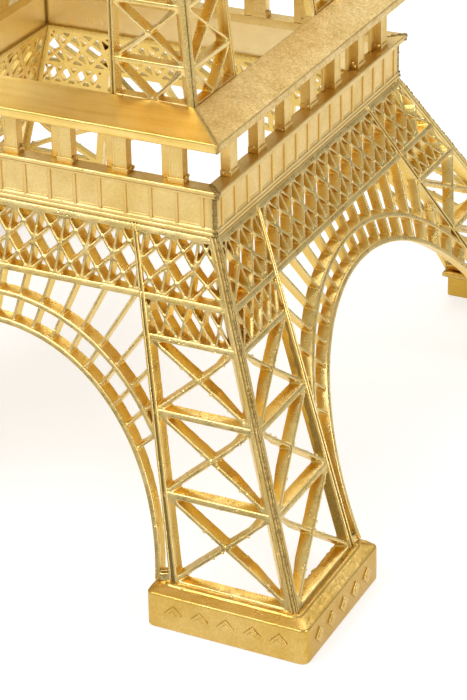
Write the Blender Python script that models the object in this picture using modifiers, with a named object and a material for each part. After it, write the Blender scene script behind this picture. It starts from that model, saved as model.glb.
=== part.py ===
"""A cast-metal souvenir of an iron lattice tower, in separate castings soldered at their mitred corners.

Every stage is four flat lattice castings, one per side, that meet along the tower's corners. Each of the two
galleries is four mitred castings with four sloped roof strips on top. Sizes are in millimetres, Z is up, and the
origin is at the middle of the footprint. A side is modelled facing -Y and then turned to the other three sides.
"""

import math

import bmesh
import bpy
from mathutils import Matrix

MM = 0.001
GAP = 0.3
SIDES = ("front", "right", "back", "left")

# Feet: square rings, open below.
BASE_HALF = 91.0
FOOT_WIDTH = 39.0
FOOT_FACE = 8.7
FOOT_HEIGHT = 9.8
FOOT_SHELF = 9.2
FOOT_WALL = 4.2
FOOT_DEPTH = 8.9
STUDS = 5

# Lower stage: the legs' edges are straight lines x = at_floor - slope * z.
LEG_CORNER = (91.8, 0.520)
LEG_INNER = (59.7, 0.3835)
LEG_LEVELS = (10.8, 26.1, 41.5, 55.7)
GIRDER = (63.4, 76.2)
ARCH_CENTRE = -1.0
ARCH_RADIUS = 53.2
RING_RADIUS = 59.2
ARCH_POSTS = (0.0, 11.25, 22.5, 33.75, 45.0, 56.0)
BAND_CELLS = 3
GIRDER_CELLS = 7
GIRDER_CELL = 13.57

# Half widths of the bars, and how deep the castings are.
CORNER_HALF = 1.2
RIB_HALF = 0.72
CHORD_HALF = 0.62
RING_HALF = 0.58
BAR_HALF = 0.36
LOWER_DEPTH = 3.0
MIDDLE_DEPTH = 2.6
UPPER_DEPTH = 2.2

# First gallery: half widths and heights of its moulding, wall, ledge, columns and roof.
GALLERY_ONE = dict(foot=77.2, half=51.4, wall=2.0, moulding=2.0, ledge=86.8, ledge_half=53.0, ledge_in=48.8,
                   ledge_thick=1.8, columns=7, column_pitch=13.94, column=3.5, column_top=97.6,
                   roof=97.9, fascia=2.2, roof_half=53.3, roof_in=42.3, roof_top=103.0, fillets=16)
# Second gallery: the same design, smaller.
GALLERY_TWO = dict(foot=172.3, half=33.4, wall=1.8, moulding=1.7, ledge=179.2, ledge_half=34.8, ledge_in=31.0,
                   ledge_thick=1.6, columns=5, column_pitch=12.4, column=3.0, column_top=187.2,
                   roof=187.5, fascia=1.8, roof_half=35.0, roof_in=23.6, roof_top=191.5, fillets=10)

# Middle stage, between the galleries.
MIDDLE_CORNER = (57.6, 0.149)
MIDDLE_INNER = (29.4, 0.080)
MIDDLE_LEVELS = (103.3, 110.8, 124.0, 136.7, 148.9, 160.2)
MIDDLE_GIRDER = (160.2, 171.3)
MIDDLE_CELLS = 5

# Upper stage: its half width falls off towards a constant.
UPPER_FOOT = 191.8
UPPER_TOP = 418.0
UPPER_SPLIT = (192.6, 210.5, 229.0, 247.5)
UPPER_ROWS = 7
UPPER_GAP_HALF = (9.6, 3.2)

COLLAR_Z = 300.0
CABIN_Z = 418.4
MAST_TOP = 480.0


def clear_scene():
    for item in list(bpy.data.objects):
        bpy.data.objects.remove(item, do_unlink=True)


def make_collection(name, hidden=False):
    made = bpy.data.collections.new(name)
    made.hide_render = hidden
    bpy.context.scene.collection.children.link(made)
    return made


def gilt(name, colour, roughness):
    """Gold-plated cast metal."""
    made = bpy.data.materials.new(name)
    made.use_nodes = True
    shader = made.node_tree.nodes["Principled BSDF"]
    shader.inputs["Base Color"].default_value = (*colour, 1.0)
    shader.inputs["Roughness"].default_value = roughness
    shader.inputs["Metallic"].default_value = 1.0
    return made


def add_object(name, mesh, material, collection):
    made = bpy.data.objects.new(name, mesh)
    mesh.materials.clear()
    mesh.materials.append(material)
    collection.objects.link(made)
    return made


def line_at(line, z):
    return line[0] - line[1] * z


def crossing(a, b, c, d):
    """Where the line through a and b meets the line through c and d."""
    rx, rz = b[0] - a[0], b[1] - a[1]
    sx, sz = d[0] - c[0], d[1] - c[1]
    along = ((c[0] - a[0]) * sz - (c[1] - a[1]) * sx) / (rx * sz - rz * sx)
    return a[0] + along * rx, a[1] + along * rz


def area(points):
    total = 0.0
    for (x0, z0), (x1, z1) in zip(points, points[1:] + points[:1]):
        total += x0 * z1 - x1 * z0
    return total / 2


def inset(corners, margins):
    """The outline with edge i, from corner i to the next, moved inwards by margin i."""
    turn = 1 if area(corners) > 0 else -1
    moved = []
    for (x0, z0), (x1, z1), margin in zip(corners, corners[1:] + corners[:1], margins):
        size = math.hypot(x1 - x0, z1 - z0)
        dx, dz = -turn * (z1 - z0) / size * margin, turn * (x1 - x0) / size * margin
        moved.append(((x0 + dx, z0 + dz), (x1 + dx, z1 + dz)))
    return [crossing(*moved[i - 1], *moved[i]) for i in range(len(moved))]


def mirrored(outlines):
    return [[(-x, z) for x, z in outline] for outline in outlines]


def crossed_cell(corners, margins, bar=BAR_HALF):
    """Four triangular openings round an X. Corners run bottom left, bottom right, top right, top left."""
    centre = crossing(corners[0], corners[2], corners[1], corners[3])
    openings = []
    for i in range(4):
        openings.append(inset([corners[i], corners[(i + 1) % 4], centre], (margins[i], bar, bar)))
    return openings


def crossed_row(left, right, bottom, top, cells, rails, posts, bar=BAR_HALF):
    """Openings of a row of X's between two lines x = left(z) and x = right(z)."""
    def node(i, z):
        return left(z) + (right(z) - left(z)) * i / cells, z

    openings = []
    centres = []
    for i in range(cells):
        corners = [node(i, bottom), node(i + 1, bottom), node(i + 1, top), node(i, top)]
        sides = crossed_cell(corners, (rails[0], posts, rails[2], posts), bar)
        centres.append(crossing(corners[0], corners[2], corners[1], corners[3]))
        openings += [sides[0], sides[2]]
        if posts or i == 0:
            margin = rails[3] if i == 0 else posts
            openings.append(inset([corners[3], corners[0], centres[i]], (margin, bar, bar)))
        else:
            openings.append(inset([corners[3], centres[i - 1], corners[0], centres[i]], (bar,) * 4))
        if posts or i == cells - 1:
            margin = rails[1] if i == cells - 1 else posts
            openings.append(inset([corners[1], corners[2], centres[i]], (margin, bar, bar)))
    return openings


def filled_mesh(outlines, half_depth):
    """A flat plate with openings: a filled 2D curve with an extrusion, made a welded mesh."""
    curve = bpy.data.curves.new("outline", "CURVE")
    curve.dimensions = "2D"
    curve.fill_mode = "BOTH"
    curve.extrude = half_depth * MM
    for outline in outlines:
        spline = curve.splines.new("POLY")
        spline.points.add(len(outline) - 1)
        for point, (x, z) in zip(spline.points, outline):
            point.co = (x * MM, z * MM, 0.0, 1.0)
        spline.use_cyclic_u = True
    holder = bpy.data.objects.new("outline", curve)
    bpy.context.scene.collection.objects.link(holder)
    graph = bpy.context.evaluated_depsgraph_get()
    mesh = bpy.data.meshes.new_from_object(holder.evaluated_get(graph))
    bpy.data.objects.remove(holder, do_unlink=True)
    shape = bmesh.new()
    shape.from_mesh(mesh)
    bmesh.ops.remove_doubles(shape, verts=shape.verts, dist=1e-6)
    bmesh.ops.recalc_face_normals(shape, faces=shape.faces)
    shape.to_mesh(mesh)
    shape.free()
    return mesh


def lattice_side(outlines, half_at, depth, leaning):
    """A plate whose outer face lies half_at(z) in front of the axis, mitred along both corner edges.

    The walls of its openings lean with the mitre at the corner, and less and less until leaning away from it.
    """
    mesh = filled_mesh(outlines, depth / 2)
    for vertex in mesh.vertices:
        x, z = vertex.co.x / MM, vertex.co.y / MM
        inwards = depth / 2 - vertex.co.z / MM
        from_edge = max(0.0, half_at(z) - GAP / 2 - abs(x))
        x -= math.copysign(inwards * max(0.0, 1 - from_edge / leaning), x)
        vertex.co = (x * MM, (inwards - half_at(z)) * MM, z * MM)
    return mesh


def mitred_bar(profile):
    """A bar along X with the profile (distance from the axis, height), its ends cut at 45 degrees."""
    mesh = filled_mesh([profile], 1.0)
    for vertex in mesh.vertices:
        distance, z = vertex.co.x, vertex.co.y
        end = math.copysign(distance - GAP / 2 * MM, vertex.co.z)
        vertex.co = (end, -distance, z)
    mesh.flip_normals()
    return mesh


def turned_copies(name, mesh, material, collection):
    """The four sides, each turned a quarter from the last."""
    made = []
    for quarter, side in enumerate(SIDES):
        turned = mesh.copy()
        turned.transform(Matrix.Rotation(quarter * math.pi / 2, 4, "Z"))
        made.append(add_object(f"{name}_{side}", turned, material, collection))
    return made


def square_loops(loops, centre, segments):
    """A closed skin through rounded-square loops (height, half width, corner radius); one for each loop."""
    shape = bmesh.new()
    rings = []
    for z, half, radius in loops:
        ring = []
        for corner in range(4):
            for step in range(segments + 1):
                angle = math.pi / 2 * (corner + step / segments)
                cx = (half - radius) * (1 if corner in (0, 3) else -1)
                cy = (half - radius) * (1 if corner in (0, 1) else -1)
                point = (centre[0] + cx + radius * math.cos(angle), centre[1] + cy + radius * math.sin(angle), z)
                ring.append(shape.verts.new([value * MM for value in point]))
        rings.append(ring)
    count = len(rings[0])
    for lower, upper in zip(rings, rings[1:] + rings[:1]):
        for i in range(count):
            shape.faces.new((lower[i], lower[(i + 1) % count], upper[(i + 1) % count], upper[i]))
    bmesh.ops.recalc_face_normals(shape, faces=shape.faces)
    mesh = bpy.data.meshes.new("loops")
    shape.to_mesh(mesh)
    shape.free()
    return mesh


def add_boxes(shape, centre, size, turn=0.0):
    """A box, turned about Y through its own middle."""
    matrix = Matrix.Translation([value * MM for value in centre]) @ Matrix.Rotation(turn, 4, "Y")
    matrix = matrix @ Matrix.Diagonal([*(value * MM for value in size), 1.0])
    bmesh.ops.create_cube(shape, size=1.0, matrix=matrix)


def combine(target, extras, name, helpers, operation="UNION"):
    """Joins a mesh of separate closed shapes to the target, or cuts it away, with a Boolean."""
    helper = bpy.data.objects.new(name, extras)
    helper.display_type = "WIRE"
    helper.hide_render = True
    helpers.objects.link(helper)
    boolean = target.modifiers.new(operation.lower(), "BOOLEAN")
    boolean.operation = operation
    boolean.solver = "EXACT"
    boolean.object = helper


def arch_point(radius, degrees):
    angle = math.radians(degrees)
    return radius * math.sin(angle), ARCH_CENTRE + radius * math.cos(angle)


def rib_radius(degrees):
    """Distance from the arch's centre to the leg's inner rib, along a post's direction."""
    angle = math.radians(degrees)
    start = LEG_INNER[0] + RIB_HALF - LEG_INNER[1] * ARCH_CENTRE
    return start / (math.sin(angle) + LEG_INNER[1] * math.cos(angle))


def arch_openings():
    """Openings of one half of the arch: between girder and middle ring, and between the two rings."""
    chord = GIRDER[0]
    rib_foot = (LEG_INNER[0] + RIB_HALF - LEG_INNER[1] * chord, chord)
    inner_ring = ARCH_RADIUS + RING_HALF
    openings = []
    for first, last in zip(ARCH_POSTS, ARCH_POSTS[1:]):
        steps = [first + (last - first) * i / 2 for i in range(3)]
        outer = [arch_point(min(RING_RADIUS, rib_radius(step)), step) for step in steps]
        inner = [arch_point(inner_ring, step) for step in reversed(steps)]
        margins = [RING_HALF] * 2 + [BAR_HALF] + [RING_HALF] * 2 + [BAR_HALF]
        openings.append(inset(outer + inner, margins))
        tops = []
        for step in (first, last):
            radius = (chord - ARCH_CENTRE) / math.cos(math.radians(step))
            tops.append(arch_point(min(radius, rib_radius(step)), step))
        if last > 40:
            continue
        top_edge, margins = [tops[0], tops[1]], [CHORD_HALF]
        if tops[1][1] < chord - 0.1:
            top_edge, margins = [tops[0], rib_foot, tops[1]], [CHORD_HALF, RIB_HALF]
        outline = top_edge + [arch_point(RING_RADIUS, step) for step in reversed(steps)]
        openings.append(inset(outline, margins + [BAR_HALF, RING_HALF, RING_HALF, BAR_HALF]))
    low = [ARCH_POSTS[-1] + (75.0 - ARCH_POSTS[-1]) * i / 4 for i in range(5)]
    outer = [arch_point(rib_radius(step), step) for step in low]
    inner = [arch_point(inner_ring, step) for step in reversed(low)]
    openings.append(inset(outer + inner, [RIB_HALF] * 4 + [BAR_HALF] + [RING_HALF] * 4 + [BAR_HALF]))
    return openings


def lower_side_mesh():
    def corner(z):
        return line_at(LEG_CORNER, z)

    def corner_bar(z):
        return corner(z) - CORNER_HALF

    def rib(z):
        return line_at(LEG_INNER, z) + RIB_HALF

    rails = (CHORD_HALF, CORNER_HALF, CHORD_HALF, RIB_HALF)
    half = []
    for low, high in zip(LEG_LEVELS, LEG_LEVELS[1:]):
        half += crossed_cell([(rib(low), low), (corner_bar(low), low), (corner_bar(high), high), (rib(high), high)],
                             rails)
    half += crossed_row(rib, corner_bar, LEG_LEVELS[-1], GIRDER[0], BAND_CELLS, rails, 0)
    half += arch_openings()
    low, high = GIRDER
    last = GIRDER_CELLS * GIRDER_CELL / 2
    post_low, post_high = (last, low), (last, high)
    corner_low, corner_high = (corner_bar(low), low), (corner_bar(high), high)
    middle = (corner_bar((low + high) / 2), (low + high) / 2)
    half.append(inset([post_low, corner_low, middle], (CHORD_HALF, CORNER_HALF, BAR_HALF)))
    half.append(inset([post_low, middle, post_high], (BAR_HALF, BAR_HALF, BAR_HALF)))
    half.append(inset([middle, corner_high, post_high], (CORNER_HALF, CHORD_HALF, BAR_HALF)))
    centre = crossed_row(lambda z: -last, lambda z: last, low, high, GIRDER_CELLS,
                         (CHORD_HALF, BAR_HALF, CHORD_HALF, BAR_HALF), BAR_HALF)
    bottom = LEG_LEVELS[0] - CHORD_HALF
    top = high + CHORD_HALF
    span = math.degrees(math.acos((bottom - ARCH_CENTRE) / ARCH_RADIUS))
    outline = [(corner(bottom) - GAP / 2, bottom), (corner(top) - GAP / 2, top)]
    outline += [(-x, z) for x, z in reversed(outline)]
    outline += [arch_point(ARCH_RADIUS, -span + 2 * span * i / 22) for i in range(23)]
    return lattice_side([outline] + half + mirrored(half) + centre, corner, LOWER_DEPTH, 9.0)


def middle_side_mesh():
    def corner(z):
        return line_at(MIDDLE_CORNER, z)

    def corner_bar(z):
        return corner(z) - 0.9

    def rib(z):
        return line_at(MIDDLE_INNER, z) + 0.6

    rails = (0.55, 0.9, 0.55, 0.6)
    half = []
    for low, high in zip(MIDDLE_LEVELS[1:], MIDDLE_LEVELS[2:]):
        half += crossed_cell([(rib(low), low), (corner_bar(low), low), (corner_bar(high), high), (rib(high), high)],
                             rails)
    # At the foot the braces are cut to a V that stands on the roof below.
    foot, first = MIDDLE_LEVELS[:2]
    tip = ((rib(foot) + corner_bar(foot)) / 2, foot + 0.6)
    half.append(inset([(rib(first), first), tip, (corner_bar(first), first)], (BAR_HALF, BAR_HALF, 0.55)))
    half.append(inset([(rib(first), first), (rib(foot), foot + 0.6), tip], (0.6, 0.5, BAR_HALF)))
    half.append(inset([(corner_bar(first), first), tip, (corner_bar(foot), foot + 0.6)], (BAR_HALF, 0.5, 0.9)))
    low, high = MIDDLE_GIRDER
    centre = crossed_row(lambda z: -corner_bar(z), corner_bar, low, high, MIDDLE_CELLS,
                         (0.55, 0.9, 0.55, 0.9), BAR_HALF)
    top = high + 0.55
    outline = [(rib(foot) - 0.6, foot), (corner(foot) - GAP / 2, foot), (corner(top) - GAP / 2, top)]
    outline += [(-x, z) for x, z in reversed(outline)]
    outline += [(-rib(low) + 0.6, low - 0.55), (rib(low) - 0.6, low - 0.55)]
    return lattice_side([outline] + half + mirrored(half) + centre, corner, MIDDLE_DEPTH, 8.0)


def upper_half(z):
    return 5.8 + 17.5 * math.exp(-(z - UPPER_FOOT) / 100.0)


def upper_side_mesh():
    def corner_bar(z):
        return upper_half(z) - 0.8

    def rib(z):
        share = (z - UPPER_SPLIT[0]) / (UPPER_SPLIT[-1] - UPPER_SPLIT[0])
        return UPPER_GAP_HALF[0] + (UPPER_GAP_HALF[1] - UPPER_GAP_HALF[0]) * share

    rails = (0.5, 0.8, 0.5, 0.55)
    half = []
    for low, high in zip(UPPER_SPLIT, UPPER_SPLIT[1:]):
        half += crossed_cell([(rib(low), low), (corner_bar(low), low), (corner_bar(high), high), (rib(high), high)],
                             rails)
    centre = []
    for low, high in zip(UPPER_SPLIT, UPPER_SPLIT[1:]):
        corners = [(-rib(low), low), (rib(low), low), (rib(high), high), (-rib(high), high)]
        centre.append(inset(corners, (0.5, 0.55, 0.5, 0.55)))
    levels = [UPPER_SPLIT[-1]]
    for _ in range(UPPER_ROWS):
        levels.append(levels[-1] + 1.8 * upper_half(levels[-1]))
    stretch = (UPPER_TOP - 0.5 - levels[0]) / (levels[-1] - levels[0])
    levels = [levels[0] + (z - levels[0]) * stretch for z in levels]
    for low, high in zip(levels, levels[1:]):
        corners = [(-corner_bar(low), low), (corner_bar(low), low), (corner_bar(high), high), (-corner_bar(high), high)]
        centre += crossed_cell(corners, (0.5, 0.8, 0.5, 0.8))
    edge = [UPPER_FOOT] + list(UPPER_SPLIT[1:]) + levels[1:-1] + [UPPER_TOP]
    outline = [(upper_half(z) - GAP / 2, z) for z in edge]
    outline += [(-x, z) for x, z in reversed(outline)]
    return lattice_side([outline] + half + mirrored(half) + centre, upper_half, UPPER_DEPTH, 6.0)


def gallery(name, size, material, roof_material, collection, helpers):
    """Four mitred wall castings with fillets and columns, and four sloped roof strips."""
    half, wall, ledge = size["half"], size["wall"], size["ledge"]
    foot, shelf = size["foot"], size["ledge"] + size["ledge_thick"]
    moulding = foot + size["moulding"]
    profile = [(half + 0.4, foot), (half + 0.4, moulding), (half, moulding), (half, ledge),
               (size["ledge_half"], ledge), (size["ledge_half"], shelf), (size["ledge_in"], shelf),
               (size["ledge_in"], ledge - 0.6), (half - wall, ledge - 0.6), (half - wall, foot)]
    walls = turned_copies(f"{name}_gallery", mitred_bar(profile), material, collection)
    extras = bmesh.new()
    pitch = 2 * half / size["fillets"]
    for i in range(size["fillets"]):
        x = (i + 0.5) * pitch - half
        add_boxes(extras, (x, -half, (moulding + ledge) / 2), (0.9, 0.6, ledge - moulding + 0.4))
    depth = min(2.4, half - size["ledge_in"] - 0.1)
    for i in range(size["columns"]):
        x = (i - (size["columns"] - 1) / 2) * size["column_pitch"]
        top = size["column_top"]
        add_boxes(extras, (x, -half + depth / 2, (shelf + top) / 2 - 0.1), (size["column"], depth, top - shelf + 0.2))
    mesh = bpy.data.meshes.new("extras")
    extras.to_mesh(mesh)
    extras.free()
    for quarter, casting in enumerate(walls):
        turned = mesh.copy()
        turned.transform(Matrix.Rotation(quarter * math.pi / 2, 4, "Z"))
        combine(casting, turned, f"{name}_gallery_extras_{SIDES[quarter]}", helpers)
    roof, outer, inner = size["roof"], size["roof_half"], size["roof_in"]
    profile = [(outer, roof), (outer, roof + size["fascia"]), (inner, size["roof_top"]),
               (inner, size["roof_top"] - 1.7), (size["ledge_in"] - 0.6, roof)]
    turned_copies(f"{name}_roof", mitred_bar(profile), roof_material, collection)


def feet(material, collection, helpers):
    """Four angle castings, each the outer two walls of a square ring; lozenge studs stand on both faces."""
    centre = BASE_HALF - FOOT_WIDTH / 2
    half = FOOT_WIDTH / 2
    inner = half - FOOT_WALL
    loops = [(0.0, half, 2.2), (FOOT_FACE - 0.4, half, 2.2), (FOOT_FACE, half - 0.5, 1.8),
             (FOOT_FACE + 0.7, half - 2.7, 1.4), (FOOT_HEIGHT, half - 3.2, 1.2), (FOOT_HEIGHT, half - 4.4, 1.0),
             (FOOT_SHELF, half - 5.0, 0.8), (FOOT_SHELF, half - FOOT_DEPTH - 3.0, 0.8),
             (FOOT_SHELF - 1.6, half - FOOT_DEPTH - 3.0, 0.8), (5.0, inner, 1.2), (0.0, inner, 1.2)]
    for name, sx, sy in (("front_right", 1, -1), ("back_right", 1, 1), ("back_left", -1, 1), ("front_left", -1, -1)):
        angle = add_object(f"foot_{name}", square_loops(loops, (sx * centre, sy * centre), 3), material, collection)
        low, high = centre - half - 2.0, BASE_HALF - FOOT_DEPTH
        middle, span = (low + high) / 2, high - low
        cutter = bmesh.new()
        add_boxes(cutter, (sx * middle, sy * middle, FOOT_HEIGHT / 2), (span, span, FOOT_HEIGHT + 4.0))
        inside = bpy.data.meshes.new("inside")
        cutter.to_mesh(inside)
        cutter.free()
        combine(angle, inside, f"foot_inside_{name}", helpers, "DIFFERENCE")
        studs = bmesh.new()
        for i in range(STUDS):
            along = (i - (STUDS - 1) / 2) * 6.4
            z = FOOT_FACE / 2
            add_boxes(studs, (sx * centre + along, sy * BASE_HALF, z), (3.0, 0.8, 3.0), math.pi / 4)
        turned = bmesh.new()
        for i in range(STUDS):
            along = (i - (STUDS - 1) / 2) * 6.4
            add_boxes(turned, (sy * centre + along, -sx * BASE_HALF, FOOT_FACE / 2), (3.0, 0.8, 3.0), math.pi / 4)
        bmesh.ops.transform(turned, matrix=Matrix.Rotation(math.pi / 2, 4, "Z"), verts=turned.verts)
        side = bpy.data.meshes.new("side_studs")
        turned.to_mesh(side)
        turned.free()
        studs.from_mesh(side)
        mesh = bpy.data.meshes.new("studs")
        studs.to_mesh(mesh)
        studs.free()
        combine(angle, mesh, f"foot_studs_{name}", helpers)


def turned_piece(name, profile, material, collection, steps=24):
    """A closed profile of (radius, height), run down its outer side, with a Screw."""
    mesh = bpy.data.meshes.new(name)
    mesh.from_pydata([(radius * MM, 0.0, z * MM) for radius, z in profile],
                     [(i, i + 1) for i in range(len(profile) - 1)], [])
    made = add_object(name, mesh, material, collection)
    screw = made.modifiers.new("turned", "SCREW")
    screw.steps = steps
    screw.render_steps = steps
    screw.use_merge_vertices = True
    screw.merge_threshold = 0.00001
    screw.use_smooth_shade = True
    return made


def top_pieces(material, collection):
    """The collar round the upper stage, the top platform, its cabin, the dome and the mast."""
    inner = upper_half(COLLAR_Z) + 0.4
    outer = inner + 2.6
    loops = [(COLLAR_Z, inner, 0.2), (COLLAR_Z, outer - 0.8, 0.2), (COLLAR_Z + 1.2, outer, 0.2),
             (COLLAR_Z + 3.4, outer, 0.2), (COLLAR_Z + 3.4, inner, 0.2)]
    add_object("upper_collar", square_loops(loops, (0, 0), 1), material, collection)
    base = CABIN_Z
    loops = [(base, 3.0, 0.2), (base, 8.4, 0.3), (base + 2.4, 12.2, 0.4), (base + 4.4, 12.2, 0.4),
             (base + 4.4, 3.0, 0.2)]
    add_object("top_platform", square_loops(loops, (0, 0), 1), material, collection)
    base += 4.7
    loops = [(base, 2.4, 0.2), (base, 9.4, 0.3), (base + 6.2, 9.4, 0.3), (base + 6.2, 10.2, 0.3),
             (base + 7.6, 10.2, 0.3), (base + 8.8, 8.0, 0.3), (base + 8.8, 2.4, 0.2)]
    add_object("top_cabin", square_loops(loops, (0, 0), 1), material, collection)
    base += 9.1
    dome = [(0.0, base + 9.5)]
    dome += [(6.4 * math.sin(math.radians(a)), base + 3.1 + 6.4 * math.cos(math.radians(a))) for a in range(15, 91, 15)]
    dome += [(6.4, base), (0.0, base)]
    turned_piece("dome", dome, material, collection)
    base += 9.8
    mast = [(0.0, MAST_TOP), (0.5, MAST_TOP - 0.4), (0.8, MAST_TOP - 12.0), (1.5, MAST_TOP - 12.6),
            (1.5, MAST_TOP - 14.0), (1.1, MAST_TOP - 14.6), (1.5, base + 5.0), (2.6, base + 4.2), (2.6, base + 2.6),
            (1.9, base + 1.6), (2.2, base), (0.0, base)]
    turned_piece("mast", mast, material, collection, 16)


def main():
    clear_scene()
    tower = make_collection("souvenir tower")
    helpers = make_collection("cutters", hidden=True)
    pale = gilt("pale gilt casting", (0.83, 0.66, 0.33), 0.36)
    deep = gilt("deep gilt casting", (0.78, 0.56, 0.22), 0.32)
    roof = gilt("grained gilt casting", (0.80, 0.63, 0.34), 0.45)
    feet(pale, tower, helpers)
    turned_copies("lower_side", lower_side_mesh(), deep, tower)
    gallery("first", GALLERY_ONE, pale, roof, tower, helpers)
    turned_copies("middle_side", middle_side_mesh(), deep, tower)
    gallery("second", GALLERY_TWO, pale, roof, tower, helpers)
    turned_copies("upper_side", upper_side_mesh(), deep, tower)
    top_pieces(pale, tower)


main()
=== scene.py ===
"""The looks of a gold-plated tower souvenir: fine castings in place of the plain CAD ones, gilt materials,
floor, light and camera.

Sizes are in millimetres and become metres when a mesh is made. A side is modelled facing -Y, as points of
(x, z, inwards), where inwards is the depth behind the casting's outer face. It is then turned to its place.
"""

import math
from types import SimpleNamespace

import bmesh
import bpy
import numpy as np
from mathutils import Matrix, Vector, noise
from mathutils.geometry import delaunay_2d_cdt


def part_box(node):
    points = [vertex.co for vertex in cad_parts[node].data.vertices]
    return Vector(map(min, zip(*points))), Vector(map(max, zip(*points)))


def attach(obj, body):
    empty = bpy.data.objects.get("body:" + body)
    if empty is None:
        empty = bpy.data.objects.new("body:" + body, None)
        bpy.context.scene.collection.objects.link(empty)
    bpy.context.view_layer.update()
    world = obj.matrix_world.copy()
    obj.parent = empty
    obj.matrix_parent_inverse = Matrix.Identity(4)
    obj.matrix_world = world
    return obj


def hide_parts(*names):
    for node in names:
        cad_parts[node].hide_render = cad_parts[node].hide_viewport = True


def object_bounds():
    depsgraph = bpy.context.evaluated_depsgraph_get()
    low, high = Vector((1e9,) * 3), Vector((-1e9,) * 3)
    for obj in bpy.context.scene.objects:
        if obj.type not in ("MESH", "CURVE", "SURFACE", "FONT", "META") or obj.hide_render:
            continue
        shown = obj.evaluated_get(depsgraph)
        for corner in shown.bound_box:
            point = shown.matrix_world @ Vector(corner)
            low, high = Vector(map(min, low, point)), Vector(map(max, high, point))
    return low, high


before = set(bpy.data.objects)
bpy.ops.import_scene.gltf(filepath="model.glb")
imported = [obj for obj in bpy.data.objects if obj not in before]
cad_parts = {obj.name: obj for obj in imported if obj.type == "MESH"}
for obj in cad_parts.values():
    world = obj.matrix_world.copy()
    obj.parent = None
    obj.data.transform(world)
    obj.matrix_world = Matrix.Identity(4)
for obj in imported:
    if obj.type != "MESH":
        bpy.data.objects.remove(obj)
cad_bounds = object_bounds()
noise.seed_set(1)  # without it, noise vectors change from run to run

MM = 0.001
SIDES = ("front", "right", "back", "left")
CORNERS = {"front_right": (1, -1), "back_right": (1, 1), "back_left": (-1, 1), "front_left": (-1, -1)}

# A slanted line of the design is (at_floor, slope), and stands for x = at_floor - slope * z.
LEG_CORNER = (91.8, 0.520)
LEG_INNER = (59.7, 0.3835)
LEG_LEVELS = (9.9, 26.1, 41.5, 55.7)
GIRDER = (63.4, 76.2)
ARCH_CENTRE = -1.0
ARCH_RADIUS = 53.2
RING_RADIUS = 59.2
POST_ANGLE = 5.625
ARCH_POSTS = 9
SLOT_ANGLE = 78.0
BAND_CELLS = 5
BAND_PITCH = 4.55
GIRDER_BAYS = 14
GIRDER_BAY = 6.785
MIDDLE_CORNER = (57.6, 0.149)
MIDDLE_INNER = (29.4, 0.080)
MIDDLE_LEVELS = (103.3, 110.8, 124.0, 136.7, 148.9, 160.2)
MIDDLE_GIRDER = (160.2, 171.3)
UPPER_FOOT = 191.8
UPPER_SPLIT = (192.6, 205.0, 216.5, 227.5, 237.8, 247.5)

# Half widths of the bars, from the corner bars down to the thinnest braces.
CORNER_HALF, MIDDLE_CORNER_HALF, UPPER_CORNER_HALF = 1.05, 0.9, 0.8
RIB_HALF, MIDDLE_RIB_HALF = 0.75, 0.6
CHORD_HALF, MIDDLE_CHORD_HALF = 0.60, 0.55
RING_HALF = 0.58
LEG_BAR_HALF = 0.42
BAR_HALF = 0.34
FINE_BAR_HALF = 0.27
RIDGE_HALF = 0.25
OPEN_END = 0.1

# How thick the side castings are, the gap between neighbours, and how far a rough seam spreads from it.
LOWER_DEPTH, MIDDLE_DEPTH, UPPER_DEPTH = 3.0, 2.6, 2.2
GAP = 0.05
SEAM_WIDTH = 2.6


# --- Flat outlines ------------------------------------------------------------------------------------------

def box_mm(node):
    low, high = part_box(node)
    return low / MM, high / MM


def line_at(line, z):
    return line[0] - line[1] * z


def spread(first, last, parts):
    """Numbers from first to last, in this many even steps."""
    return [first + (last - first) * i / parts for i in range(parts + 1)]


def crossing(a, b, c, d):
    """Where the line through a and b meets the line through c and d."""
    rx, rz = b[0] - a[0], b[1] - a[1]
    sx, sz = d[0] - c[0], d[1] - c[1]
    along = ((c[0] - a[0]) * sz - (c[1] - a[1]) * sx) / (rx * sz - rz * sx)
    return a[0] + along * rx, a[1] + along * rz


def area(points):
    total = 0.0
    for (x0, z0), (x1, z1) in zip(points, points[1:] + points[:1]):
        total += x0 * z1 - x1 * z0
    return total / 2


def inset(corners, margins):
    """The outline with edge i, from corner i to the next, moved inwards by margin i."""
    turn = 1 if area(corners) > 0 else -1
    moved = []
    for (x0, z0), (x1, z1), margin in zip(corners, corners[1:] + corners[:1], margins):
        size = math.hypot(x1 - x0, z1 - z0)
        dx, dz = -turn * (z1 - z0) / size * margin, turn * (x1 - x0) / size * margin
        moved.append(((x0 + dx, z0 + dz), (x1 + dx, z1 + dz)))
    return [crossing(*moved[i - 1], *moved[i]) for i in range(len(moved))]


def mirrored(outlines):
    return [[(-x, z) for x, z in outline] for outline in outlines]


def crossed_cell(corners, margins, bar=BAR_HALF):
    """Four triangular openings round an X. Corners run bottom left, bottom right, top right, top left."""
    centre = crossing(corners[0], corners[2], corners[1], corners[3])
    return [inset([corners[i], corners[(i + 1) % 4], centre], (margins[i], bar, bar)) for i in range(4)]


def corner_curve(here, back, on, reach, steps):
    """A curve in place of a corner with the edges back and on, which takes up reach of each."""
    reach = min(reach, back.length * 0.4, on.length * 0.4)
    start, end = here + back.normalized() * reach, here + on.normalized() * reach
    return [(1 - t) ** 2 * start + 2 * t * (1 - t) * here + t * t * end for t in spread(0.0, 1.0, steps)]


def rounded(outline, radius=0.35, steps=2):
    """The outline with its sharp corners rounded, as a casting's are."""
    points = []
    for i, corner in enumerate(outline):
        here = Vector(corner)
        back, on = Vector(outline[i - 1]) - here, Vector(outline[(i + 1) % len(outline)]) - here
        angle = back.angle(on, math.pi)
        if angle > math.radians(150):
            points.append(corner)
        else:
            points += map(tuple, corner_curve(here, back, on, radius / math.tan(angle / 2), steps))
    return points


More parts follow.
